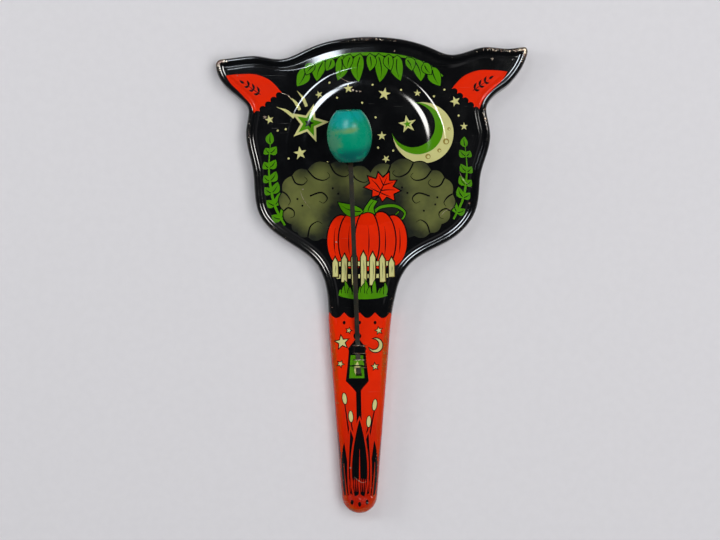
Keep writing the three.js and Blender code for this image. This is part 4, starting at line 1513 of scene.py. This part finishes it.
@dataclass
class TurnedBall:
    """The turned wooden ball, an oval with both ends cut flat, drilled through and painted."""

    diameter: float = 21.1
    length: float = 24
    curve_length: float = 28
    edge_round: float = 0.7
    bore_radius: float = 1.43
    lip_round: float = 0.25
    sides: int = 112
    blue: tuple[PaintPatch, ...] = (PaintPatch(-0.4, 0.62, 0.6, 0.4), PaintPatch(0.2, 0.85, 0.7, 0.3, 0.7))
    # Painted shade down the ball's right side.
    deep: tuple[PaintPatch, ...] = (PaintPatch(0.95, 0.1, 0.3, 0.9, 0.3),)
    chalky: tuple[PaintPatch, ...] = (
        PaintPatch(-0.72, -0.12, 0.4, 0.5),
        PaintPatch(0.1, 0.34, 0.7, 0.12, 0.4),
    )
    thin: tuple[PaintPatch, ...] = (PaintPatch(-0.42, -0.3, 0.2, 0.16, 0.5),)
    knock: PaintPatch = PaintPatch(0, -0.1, 0.3, 0.35)

    def profile(self) -> np.ndarray:
        """Draw half of the ball's section as rows of radius, height, and the facing's two parts.

        Returns:
            The rows, from the bore's foot round the outside to its top and back down the bore.
        """
        half, r, lip = self.length / 2, self.edge_round, self.lip_round
        widest, longest = self.diameter / 2, self.curve_length / 2
        side_end = math.asin((half - r * 0.62) / longest)
        side = []
        for a in np.linspace(-side_end, side_end, 44):
            radius, y = widest * math.cos(a), longest * math.sin(a)
            facing = np.array([radius / widest**2, y / longest**2])
            side.append((radius, y, *(facing / np.linalg.norm(facing))))
        corner_radius, corner_y, out, up = side[-1]
        tilt = math.atan2(up, out)
        top = []
        for a in np.linspace(tilt, math.pi / 2, 7)[1:]:
            share = (math.sin(a) - math.sin(tilt)) / (1 - math.sin(tilt))
            inwards = r * 0.75 * (math.cos(tilt) - math.cos(a)) / math.cos(tilt)
            y = corner_y + (half - corner_y) * share
            top.append((corner_radius - inwards, y, math.cos(a), math.sin(a)))
        top += [(radius, half, 0, 1) for radius in np.linspace(top[-1][0], self.bore_radius + lip, 6)[1:]]
        for a in np.linspace(0, math.pi / 2, 4)[1:]:
            radius = self.bore_radius + lip * (1 - math.sin(a))
            top.append((radius, half - lip * (1 - math.cos(a)), -math.sin(a), math.cos(a)))
        bottom = [(radius, -y, fr, -fy) for radius, y, fr, fy in reversed(top)]
        bore = [(self.bore_radius, y, -1, 0) for y in np.linspace(half - 0.6, -half + 0.6, 6)]
        return np.array(bottom + side + top + bore)

    def build(self, spring: FlatSpring, section: PressedSection, placing: Placing) -> bpy.types.Object:
        """Turn the ball on the strip's line.

        Args:
            spring: The strip that carries it.
            section: The sheet's section.
            placing: Where the drawing lies in the model.

        Returns:
            The ball.
        """
        radius = self.diameter / 2
        centre_z = spring.heights(section, radius)[2]
        pitch = spring.pitch(section, radius)
        level, across = spring.direction()
        axis = np.array([*(level * math.cos(pitch)), math.sin(pitch)])
        right = np.array([*across, 0.0])
        middle = np.array([*(np.array(spring.mouth) + level * spring.ball_reach), centre_z])
        angle = np.arange(self.sides) * 2 * math.pi / self.sides
        out = np.outer(np.cos(angle), right) + np.outer(np.sin(angle), np.cross(right, axis))
        work = MeshWork()
        rows = []
        for r, y, facing_r, facing_y in self.profile():
            places = np.outer(np.full(len(angle), y), axis) + out * r
            marks = self.marks(r * np.cos(angle) / radius, y / (self.length / 2), np.sin(angle), r)
            rows.append(work.add_points(places, out * facing_r + axis * facing_y, **marks))
        work.add_rows([*rows, rows[0]])
        piece = work.make("turned_ball", [WornBallPaint().material()], (0, 0, 0))
        shift = np.array(placing.shift())
        piece.data.transform(Matrix.Translation(Vector((middle + shift) * MM)))
        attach(piece, Body.CLAPPER.value)
        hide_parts("wooden_ball")
        return piece

    def marks(self, u: np.ndarray, v: float, up: np.ndarray, r: float) -> dict[str, np.ndarray]:
        """Say where the paint is blue, chalky, thin or gone, and where painted shade darkens it, on one ring
        of the ball.

        Args:
            u: How far to the right of the middle each place is, in radii.
            v: How far the ring lies towards the top end, from -1 to 1.
            up: How much each place faces up.
            r: The ring's distance from the ball's axis, in mm.

        Returns:
            The marks, by name.
        """
        seen = between(-0.25, 0.3, up) if r > self.bore_radius + 0.5 else np.zeros(len(u))

        def patched(*patches: PaintPatch, shade: np.ndarray = seen) -> np.ndarray:
            """Shade soft oval patches."""
            near = ((((u - p.x) / p.wide) ** 2 + ((v - p.y) / p.high) ** 2, p.strength) for p in patches)
            return sum(np.exp(-gap) * shade * strength for gap, strength in near)

        knock = patched(self.knock, shade=between(-0.3, -0.8, up))
        lip = (0.4 if v > 0 else 1.0) * (r < self.bore_radius + 0.4)
        bore = 0.7 * (r < self.bore_radius + 0.1)
        edge = np.exp(-(((abs(v) - 0.97) / 0.03) ** 2)) * (r > self.bore_radius + 2)
        back = (1 - seen) * 0.5
        band = np.exp(-(((v - 0.27 - 0.1 * u) / 0.12) ** 2) - ((u + 0.2) / 0.68) ** 4) * seen
        heart = np.exp(-(((u - 0.05) / 0.3) ** 2))
        thin = band * (0.62 + 0.38 * heart) + patched(*self.thin) + edge * 0.15 + knock * 0.8
        return {
            "Blue": patched(*self.blue),
            # Painted shade, darker towards the lower end and down the right side.
            "Deep": between(-0.12, -0.8, v) * 0.95 + patched(*self.deep),
            "Chalky": np.clip(patched(*self.chalky) + edge * 0.4 + back * 0.5, 0, 1),
            "Thin": np.clip(thin, 0, 1),
            "Bare": np.clip(knock * 0.9 + lip + band * heart * 0.62 + bore, 0, 1),
        }


@dataclass
class PlanGrid:
    """Gathers the points of a plan, and the pairs of them that the triangles' sides follow."""

    points: list[np.ndarray] = field(default_factory=list)
    pairs: list[tuple[int, int]] = field(default_factory=list)
    count: int = 0

    def add(self, line: np.ndarray, kept: np.ndarray | None = None) -> None:
        """Add a closed line, of which only the kept points are used and stay joined."""
        kept = np.ones(len(line), dtype=bool) if kept is None else kept
        number = np.cumsum(kept) - 1 + self.count
        both = kept & np.roll(kept, -1)
        self.pairs += zip(number[both].tolist(), np.roll(number, -1)[both].tolist())
        self.points.append(line[kept])
        self.count += int(kept.sum())


@dataclass(frozen=True)
class RimRow:
    """One row of points round the rim: how far in and how high it lies, where it faces, and its rub."""

    inset: float | np.ndarray
    z: float | np.ndarray
    inwards: float | np.ndarray
    up: float | np.ndarray
    rub: float
    printed: bool = True
    joined: bool = True


@dataclass
class PressedPan:
    """The pressed and printed sheet: head, handle, folded hem, and two straps lanced out of the handle."""

    outline: Outline
    section: PressedSection
    design: LithoPrint
    strap_width: float = 6.8
    strap_length: float = 4.3
    strap_ramp: float = 1.0
    strap_spacing: float = 2.5
    lance_gap: float = 0.2
    strap_rise: float = 1.0
    strap_round: float = 0.1
    shy: float = 0.02
    crest_inset: float = 1.9
    cut_rub: float = 0.6
    ball_knock: Spot = (-7.9, 3.2)
    knock_reach: float = 3
    grip_from_to: tuple[float, float] = (-75, -95)
    # Where the orange grows darker towards the handle's end.
    darker_to_end_from_to: tuple[float, float] = (-105, -172)
    crimp_from_to: tuple[float, float] = (-166, -171)
    orange_below_y: float = -81
    worn_spots: tuple[tuple[float, float, float, float], ...] = (
        (1.5, 51, 13, 0.35), (62, 46, 9, 0.45), (57, 15, 7, 0.4), (76.6, 46.4, 5.5, 0.75),
        (-71.4, 41, 5.5, 0.75), (-3.2, -175, 9, 0.2), (-57, 5, 9, 0.2), (44, -40, 9, 0.2),
        (-45, -41, 9, 0.25), (11.5, -100, 16, 0.3), (-17, -100, 20, 0.2), (16, -77, 6, 0.3),
        (-22, -77, 6, 0.25),
    )

    def __post_init__(self) -> None:
        """Lay out the sheet for measuring."""
        self.sheet = SheetField(self.outline, self.section)

    def strap_starts(self, spring: FlatSpring) -> list[float]:
        """Find where each strap starts along the handle."""
        upper = spring.mouth[1] - self.strap_length
        return [upper, upper - self.strap_length - self.strap_spacing]

    def cuts(self, spring: FlatSpring) -> list[np.ndarray]:
        """Draw the two strap windows and the slot for the strip's tail.

        Args:
            spring: The strip.

        Returns:
            The cuts' corners, anticlockwise.
        """
        half, middle = self.strap_width / 2, self.outline.handle_axis_x
        boxes = [(middle - half, y, middle + half, y + self.strap_length) for y in self.strap_starts(spring)]
        lying, tail, _ = spring.heights(self.section, 1)
        x = spring.mouth[0] - (spring.slot_y - spring.mouth[1]) * math.tan(math.radians(spring.lean))
        wide = spring.width / 2 + spring.slide
        deep = (lying - tail) / 2 + spring.thickness / 2 + spring.slide
        boxes.append((x - wide, spring.slot_y - deep, x + wide, spring.slot_y + spring.seat))
        return [np.array([(x0, y0), (x1, y0), (x1, y1), (x0, y1)]) for x0, y0, x1, y1 in boxes]

    def rubbed(self, places: np.ndarray, inset: np.ndarray) -> np.ndarray:
        """Tell how much handling has rubbed each place; on the handle's bends the same mark also lays painted
        shade.

        Args:
            places: The places, in mm.
            inset: Their distances from the outline.

        Returns:
            0 where it is untouched, up to 1 where it is bare.
        """
        # Over the grip the band along the crest widens across the handle's bends, where its darker colour is
        # partly wear and partly painted shade.
        grip = between(*self.grip_from_to, places[:, 1])
        crest = np.exp(-(((inset - self.crest_inset) / (0.75 + 0.7 * grip)) ** 2))
        rub = 0.18 + grip * 0.12
        for x, y, reach, amount in self.worn_spots:
            rub = rub + amount * fading(places, (x, y), reach)
        return np.clip(crest * rub + 0.3 * fading(places, self.ball_knock, self.knock_reach), 0, 1)

    def bend_marks(self, places: np.ndarray) -> dict[str, np.ndarray]:
        """Mark how much deeper the orange is towards the handle's end, and how crimped the metal is there."""
        y = places[:, 1]
        return {"DarkerToEnd": between(*self.darker_to_end_from_to, y) * 0.75, "Crimp": between(*self.crimp_from_to, y)}

    def rings(self, rows: list[int]) -> list[tuple[np.ndarray, np.ndarray]]:
        """Draw lines that follow the outline along rows of the rim's section.

        Args:
            rows: The rows.

        Returns:
            For each, its points, and which of them are clear of the other side.
        """
        line, slack = self.sheet.line, 0.05
        section = self.section.at(line.points)
        out = []
        for row in rows:
            points = line.points + line.inward * section[row, 0][:, None]
            out.append((points, self.sheet.from_edge(points)[0] > section[row, 0] - slack))
        return out

    def lay_out(
        self, edges: list[np.ndarray], cuts: list[np.ndarray], rows: list[int], disc_sides: int, pitch: float
    ) -> tuple[np.ndarray, np.ndarray, np.ndarray]:
        """Cut the sheet's plan inside the bead's crest into triangles.

        Args:
            edges: The edges of the print that the triangles follow.
            cuts: The holes.
            rows: The rows of the rim's section that rings follow.
            disc_sides: How many sides the disc's rings have.
            pitch: How far apart the points of the level places are.

        Returns:
            The points, the triangles, and the points of the crest in order.
        """
        rim_room, disc_room, slack, merged_within = 9, 1, 0.03, 1e-5
        crest, disc = self.rings([self.section.crest])[0][0], self.section.disc[:, 0]
        grid = PlanGrid()
        grid.add(crest)
        for line, kept in self.rings(rows):
            grid.add(line, kept)
        for line in [*(radius * circle(disc_sides) for radius in disc), *cuts, *edges]:
            grid.add(line)
        across, high = (np.arange(crest[:, k].min(), crest[:, k].max(), pitch) for k in (0, 1))
        spots = np.stack(np.meshgrid(across, high), axis=-1).reshape(-1, 2)
        radius = np.linalg.norm(spots, axis=1)
        off_slope = (radius < disc[-1] - disc_room) | (radius > disc[0] + disc_room)
        grid.points.append(spots[(self.sheet.from_edge(spots)[0] > rim_room) & off_slope])
        corners = [Vector(spot) for spot in np.concatenate(grid.points).tolist()]
        made = delaunay_2d_cdt(corners, grid.pairs, [], 1, merged_within, True)
        plan = np.array([tuple(spot) for spot in made[0]])
        triangles = np.array([face for face in made[2] if len(face) == 3])
        middle = plan[triangles].mean(axis=1)
        gap, _, foot = self.sheet.from_edge(middle)
        keep = gap > self.section.at(foot)[self.section.crest, 0] - slack
        for cut in cuts:
            keep &= ~inside(cut, middle)
        order = {first: n for n, sources in enumerate(made[3]) for first in sources if first < len(crest)}
        rim = np.array([order[n] for n in range(len(crest))])
        used = np.unique(np.concatenate([triangles[keep].ravel(), rim]))
        number = np.zeros(len(plan), dtype=int)
        number[used] = np.arange(len(used))
        return plan[used], number[triangles[keep]], number[rim]

    def ink_at(self, places: np.ndarray) -> np.ndarray:
        """Tell which ink lies on top at each place."""
        found = np.full(len(places), Ink.BLACK.value)
        for shape in self.design.shapes:
            found[inside(shape.edge, places)] = shape.ink.value
        return found

    def finishes(self) -> list[bpy.types.Material]:
        """Make the sheet's materials, in the order of the inks."""
        inks = (
            PrintedInk("black_ink", linear(9, 10, 12), linear(18, 19, 20)),
            # The orange's rubbed colour, a darker brownish orange, is worn ink and, on the handle's bends,
            # also painted shade.
            PrintedInk(
                "orange_ink", linear(226, 40, 4), linear(150, 20, 2), 0.14, 0.735, "DarkerToEnd",
                rubbed=linear(182, 60, 6), metal=linear(158, 116, 62), rust=linear(104, 58, 26),
                rough=0.13, gloss=0.1,
            ),
            PrintedInk(
                "green_ink", linear(76, 142, 10), linear(48, 104, 6), 0.16, 0.74,
                rubbed=linear(88, 116, 26),
            ),
            PrintedInk(
                "cream_ink", linear(206, 204, 136), linear(168, 160, 92), 0.2, 0.74,
                rubbed=linear(172, 162, 104),
            ),
            PrintedInk("smoke_ink", linear(102, 107, 58), linear(34, 37, 31), 0.3, 0.73, "Shade"),
            PrintedInk("ochre_ink", linear(150, 132, 60), linear(120, 100, 44)),
            PrintedInk(
                "chipped_spots", linear(150, 140, 124), linear(110, 74, 48), 1.0, 0.5,
                rubbed=linear(150, 134, 110),
            ),
        )
        return [finish.material() for finish in (*inks, BareTinplate("stained_tinplate"))]

    def build(self, spring: FlatSpring, placing: Placing) -> bpy.types.Object:
        """Press, print, fold and lance the sheet.

        Args:
            spring: The strip that the straps hold.
            placing: Where the drawing lies in the model.

        Returns:
            The sheet.
        """
        work, cuts = MeshWork(), self.cuts(spring)
        rows = list(range(self.section.crest + 1, len(self.section.rims[0])))
        edges = [shape.edge for shape in self.design.draw()]
        plan, triangles, crest = self.lay_out(edges, cuts, rows, disc_sides=168, pitch=2.4)
        z, facing, inset = self.sheet.surface(plan)
        marks = self.bend_marks(plan) | {"Rub": self.rubbed(plan, inset), "Shade": self.design.airbrush(plan)}
        top = work.add_points(np.column_stack([plan, z]), facing, **marks)
        work.add_faces(top[triangles], self.ink_at(plan[triangles].mean(axis=1)))
        log.info("printed side: %d triangles", len(triangles))

        plan, triangles, back_crest = self.lay_out([], cuts, rows[::2] + rows[-1:], disc_sides=96, pitch=6)
        z, facing, _ = self.sheet.surface(plan)
        back = work.add_points(np.column_stack([plan, z]) - facing * self.section.sheet, -facing)
        work.add_faces(back[triangles[:, ::-1]], Ink.BACK.value)
        log.info("back: %d triangles", len(triangles))

        self.fold_rim(work, top[crest], back[back_crest])
        for cut in cuts:
            self.line_cut(work, cut)
        for start in self.strap_starts(spring):
            self.lance_strap(work, start)
        piece = work.make("pressed_pan", self.finishes(), placing.shift())
        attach(piece, Body.PAN.value)
        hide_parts("tin_body")
        return piece

    def rim_rows(self, section: np.ndarray) -> list[RimRow]:
        """List the rows from under the bead's crest down the skirt, round the hem, and up again inside.

        Args:
            section: The rim's section, at every place of the outline.

        Returns:
            The rows, in order.
        """
        cut, flat_half = self.section, 0.005
        half_hem, skirt_facing = cut.hem_width / 2, (0.998, 0.06)
        hem_draft = cut.skirt_draft * cut.hem_height / cut.skirt_height
        outer, inner = cut.hem_width + hem_draft, cut.sheet + hem_draft + 0.02
        bead = section[: cut.crest]
        rows = [RimRow(inset, z, -np.sin(tilt), np.cos(tilt), 0.05) for inset, z, tilt in bead[::-1]]
        for z in (4.6, 2.6, 1.0):
            inset = cut.skirt_draft * (z - 0.16) / cut.skirt_height + self.shy
            rows.append(RimRow(inset, z, -skirt_facing[0], skirt_facing[1], 0.04))
        for a in np.radians(np.linspace(0, 180, 9)):
            inset = half_hem + self.shy - (half_hem - self.shy) * math.cos(a)
            z = half_hem + flat_half - half_hem * math.sin(a) + 0.01
            rows.append(RimRow(inset, z, -math.cos(a), -math.sin(a), 0.5))
        rows.append(RimRow(outer - 0.02, cut.hem_height - 0.06, *skirt_facing, 0.3))
        rows.append(RimRow(outer - 0.05, cut.hem_height, 0.3, 0.95, 0.5, printed=False))
        rows.append(RimRow(inner, cut.hem_height, 0, 1, 0.5, printed=False))
        rows.append(RimRow(inner, cut.hem_height, 1, 0, 0.3, printed=False, joined=False))
        for inset, z, tilt in bead:
            away, down = np.sin(tilt), -np.cos(tilt)
            inset, z = inset + cut.sheet * away, z + cut.sheet * down
            rows.append(RimRow(inset, z, away, down, 0, printed=False))
        return rows

    def fold_rim(self, work: MeshWork, crest: np.ndarray, back_crest: np.ndarray) -> None:
        """Draw the skirt down from the bead, fold its hem inwards, and come back up inside.

        Args:
            work: The mesh that it joins.
            crest: The printed side's points along the bead's crest.
            back_crest: The back's points under it.
        """
        cut, line = self.section, self.sheet.line
        section = cut.at(line.points)
        bead_rows, design_rows = 6, cut.crest - 1
        middle, into = ((part + np.roll(part, -1, axis=0)) / 2 for part in (line.points, line.inward))
        crest_in = section[cut.crest, 0]
        tips = self.rubbed(line.points + line.inward * crest_in[:, None], crest_in)
        below = np.where(middle[:, 1] < self.orange_below_y, Ink.ORANGE.value, Ink.BLACK.value)
        before, flat, upper = (crest_in, section[cut.crest, 1]), crest_in + 0.05, crest
        for n, row in enumerate(self.rim_rows(section)):
            values = (row.inset, row.z, row.inwards, row.up)
            inset, z, inwards, up = (np.broadcast_to(value, (len(line.points),)) for value in values)
            places = np.column_stack([line.points + line.inward * inset[:, None], z])
            facing = np.column_stack([line.inward * inwards[:, None], up])
            worn = np.clip(row.rub + tips * (0.9 if n < bead_rows else 0.3), 0, 1)
            lower = work.add_points(places, facing, Rub=worn, **self.bend_marks(places[:, :2]))
            flat = flat - np.hypot(inset - before[0], z - before[1])
            before = (inset, z)
            if row.joined:
                inks = self.ink_at(middle + into * flat[:, None]) if n < design_rows else below
                work.add_rows([upper, lower], inks if row.printed else Ink.BACK.value)
            upper = lower
        work.add_rows([upper, back_crest], Ink.BACK.value)

    def line_cut(self, work: MeshWork, corners: np.ndarray) -> None:
        """Line a cut with the sheet's own thickness.

        Args:
            work: The mesh that it joins.
            corners: The cut's corners, anticlockwise.
        """
        top, bottom = self.section.face_z, self.section.face_z - self.section.sheet
        for a, b in zip(corners, np.roll(corners, -1, axis=0)):
            run = (b - a) / np.linalg.norm(b - a)
            wall = np.array([(*a, top), (*b, top), (*b, bottom), (*a, bottom)])
            facing = np.tile((-run[1], run[0], 0.0), (4, 1))
            work.add_faces(work.add_points(wall, facing, Rub=self.cut_rub)[None], Ink.BACK.value)

    def strap_ring(self, reach: float) -> tuple[np.ndarray, np.ndarray, np.ndarray, np.ndarray]:
        """Draw a strap's own section along the handle, with its edges rounded.

        Args:
            reach: Half the strap's length.

        Returns:
            Its points' distances along, their heights, their angles, and which of them are printed.
        """
        r, sheet = self.strap_round, self.section.sheet
        rows = [(y, 0.0, 90.0, 1) for y in np.linspace(reach - r, -reach + r, 13)]
        rounds = (
            (-1, -r, (120, 150, 180), 1), (-1, r - sheet, (180, 225, 270), 0),
            (1, r - sheet, (270, 315, 360), 0), (1, -r, (0, 30, 60), 1),
        )
        for side, z, angles, printed in rounds:
            for angle in angles:
                a = math.radians(angle)
                rows.append((side * (reach - r) + r * math.cos(a), z + r * math.sin(a), angle, printed))
        along, off, facing, printed = np.array(rows).T
        return along, off, np.radians(facing), printed > 0

    def lance_strap(self, work: MeshWork, start_y: float) -> None:
        """Press one strap up over the strip.

        Args:
            work: The mesh that it joins.
            start_y: Where the strap's cut starts along the handle.
        """
        half, ramp = self.strap_width / 2, self.strap_ramp
        bends = (-half, ramp - half, half - ramp, half)
        parts = [np.linspace(a, b, steps) for a, b, steps in zip(bends, bends[1:], (9, 15, 9))]
        x = np.unique(np.concatenate(parts))
        rise = (self.strap_rise + self.section.sheet) * between(0, ramp, half - abs(x))
        slope = np.gradient(rise, x, edge_order=2)
        slope[[0, -1]] = 0
        reach = self.strap_length / 2 - self.lance_gap
        along, off, angle, printed = self.strap_ring(reach)
        shielded = (off > -0.02) & (abs(along) < reach - 0.3)
        origin = np.array([self.outline.handle_axis_x, start_y + self.strap_length / 2, self.section.face_z])
        rows = []
        for across, lift, tilt in zip(x, rise, slope):
            normal = np.array([-tilt, 1.0]) / math.hypot(tilt, 1)
            places = np.column_stack([across + off * normal[0], along, lift + off * normal[1]]) + origin
            facing = np.column_stack([normal[0] * np.sin(angle), np.cos(angle), normal[1] * np.sin(angle)])
            worn = np.where(shielded, 0.2, 0.8) * (0.6 + 0.4 * lift)
            rows.append(work.add_points(places, facing, Rub=worn))
        places = np.concatenate(work.places)
        for left, right in zip(rows[:-1], rows[1:]):
            faces = quads(left, right)
            inks = self.ink_at(places[faces].mean(axis=1)[:, :2])
            work.add_faces(faces, np.where(printed, inks, Ink.BACK.value))


# The studio


@dataclass(frozen=True)
class SoftLamp:
    """A soft oval lamp: its direction round the object and from straight above, its size and its power."""

    name: str
    azimuth: float
    from_top: float
    across: float
    high: float
    watts: float
    colour: tuple[float, float, float]
    distance: float = 1.1
    lights: bool = True
    shines: bool = True


@dataclass
class Studio:
    """The paper, the camera over it, and plain soft light."""

    image_size: tuple[int, int] = (720, 540)
    disc_in_image: Spot = (366.3, 146.0)
    mm_per_pixel: float = 0.479
    camera_height: float = 800
    sensor_width: float = 36
    view_depth: float = 20
    rim_height: float = 8
    aim_height: float = 10
    paper_half: float = 6
    surround_strength: float = 0.4
    surround_green: float = 0.985
    surround_levels: tuple[tuple[float, float], ...] = (
        (0.0, 0.3), (0.14, 0.3), (0.26, 1.0), (0.46, 1.0), (0.6, 0.04), (1.0, 0.03),
    )
    lamps: tuple[SoftLamp, ...] = (
        SoftLamp("window_right_gleam", 36, 31, 0.34, 0.5, 12.0, (1.0, 0.985, 0.94), lights=False),
        SoftLamp("window_left_gleam", 129, 31, 0.33, 0.5, 13.0, (0.84, 0.92, 1.0), lights=False),
        SoftLamp("window_edge_gleam", 106, 38, 0.15, 0.18, 2.2, (0.84, 0.92, 1.0), lights=False),
        SoftLamp("window_right", 34, 38, 0.5, 0.4, 2.5, (1.0, 0.99, 0.97), shines=False),
        SoftLamp("window_left", 127, 39, 0.5, 0.4, 1.5, (0.95, 0.975, 1.0), shines=False),
        SoftLamp("low_left", 168, 69, 0.5, 0.4, 3.5, (1.0, 1.0, 0.985), shines=False),
        SoftLamp("ceiling", -30, 26, 1.8, 1.8, 24.0, (1.0, 0.995, 1.0), 2.0, shines=False),
    )

    def camera(self, shift: tuple[float, float, float]) -> None:
        """Hang the camera straight over the middle of the view.

        Args:
            shift: Where the disc's middle lies in the model, in mm.
        """
        wide, high = self.image_size
        data = bpy.data.cameras.new("photo_camera")
        data.sensor_width = self.sensor_width
        data.lens = self.sensor_width * self.camera_height / (wide * self.mm_per_pixel)
        data.clip_end = self.view_depth
        camera = put_in_scene("photo_camera", data)
        x = shift[0] + (wide / 2 - self.disc_in_image[0]) * self.mm_per_pixel
        y = shift[1] - (high / 2 - self.disc_in_image[1]) * self.mm_per_pixel
        camera.location = (x * MM, y * MM, (self.rim_height + self.camera_height) * MM)
        bpy.context.scene.camera = camera

    def paper(self) -> None:
        """Lay the paper."""
        mesh = bpy.data.meshes.new("paper")
        half = self.paper_half
        corners = [(-half, -half, 0), (half, -half, 0), (half, half, 0), (-half, half, 0)]
        mesh.from_pydata(corners, [], [(0, 1, 2, 3)])
        mesh.materials.append(PaleSweep().material())
        sheet = put_in_scene("paper", mesh)

    def hang(self, lamp: SoftLamp, aim: Vector) -> None:
        """Hang one lamp over the place that it points at."""
        data = bpy.data.lights.new(lamp.name, "AREA")
        data.shape = "ELLIPSE"
        data.size, data.size_y = lamp.across, lamp.high
        data.energy = lamp.watts
        data.color = lamp.colour
        light = put_in_scene(lamp.name, data)
        light.visible_diffuse = lamp.lights
        light.visible_glossy = lamp.shines
        a, t = math.radians(lamp.azimuth), math.radians(lamp.from_top)
        ray = Vector((math.sin(t) * math.cos(a), math.sin(t) * math.sin(a), math.cos(t)))
        light.location = aim + ray * lamp.distance
        light.rotation_euler = ray.to_track_quat("Z", "Y").to_euler()

    def surround(self) -> None:
        """Light everything evenly from low all round, and leave it dim overhead."""
        world = bpy.data.worlds.new("soft_surround")
        world.use_nodes = True
        bpy.context.scene.world = world
        tree = world.node_tree
        back = next(node for node in tree.nodes if node.type == "BACKGROUND")
        kinds = ("ShaderNodeTexCoord", "ShaderNodeSeparateXYZ", "ShaderNodeValToRGB")
        coordinates, split, ramp = (tree.nodes.new(kind) for kind in kinds)
        tree.links.new(coordinates.outputs["Generated"], split.inputs[0])
        tree.links.new(split.outputs["Z"], ramp.inputs["Fac"])
        tree.links.new(ramp.outputs["Color"], back.inputs["Color"])
        ramp.color_ramp.interpolation = "EASE"
        elements = ramp.color_ramp.elements
        while len(elements) < len(self.surround_levels):
            elements.new(0.5)
        for element, (place, level) in zip(elements, self.surround_levels):
            element.position = place
            element.color = (level, level * self.surround_green, level, 1)
        back.inputs["Strength"].default_value = self.surround_strength

    def build(self, shift: tuple[float, float, float]) -> None:
        """Set up the paper, the camera and the light.

        Args:
            shift: Where the disc's middle lies in the model, in mm.
        """
        aim = Vector((shift[0], shift[1], self.aim_height)) * MM
        self.camera(shift)
        self.paper()
        for lamp in self.lamps:
            self.hang(lamp, aim)
        self.surround()
        bpy.context.scene.view_settings.view_transform = "Standard"


def main() -> None:
    """Build the studio and the clacker's pieces in order."""
    logging.basicConfig(level=logging.INFO, format="%(name)s: %(message)s")
    outline = Outline()
    section = PressedSection()
    placing = Placing(outline)
    Studio().build(placing.shift())
    log.info("studio ready")
    ball = TurnedBall()
    spring = FlatSpring()
    pieces = [
        PressedPan(outline, section, LithoPrint()).build(spring, placing),
        spring.build(section, ball.diameter / 2, placing),
        ball.build(spring, section, placing),
    ]
    for piece in pieces:
        log.info("%s: %d faces", piece.name, len(piece.data.polygons))


if __name__ == "__main__":
    main()
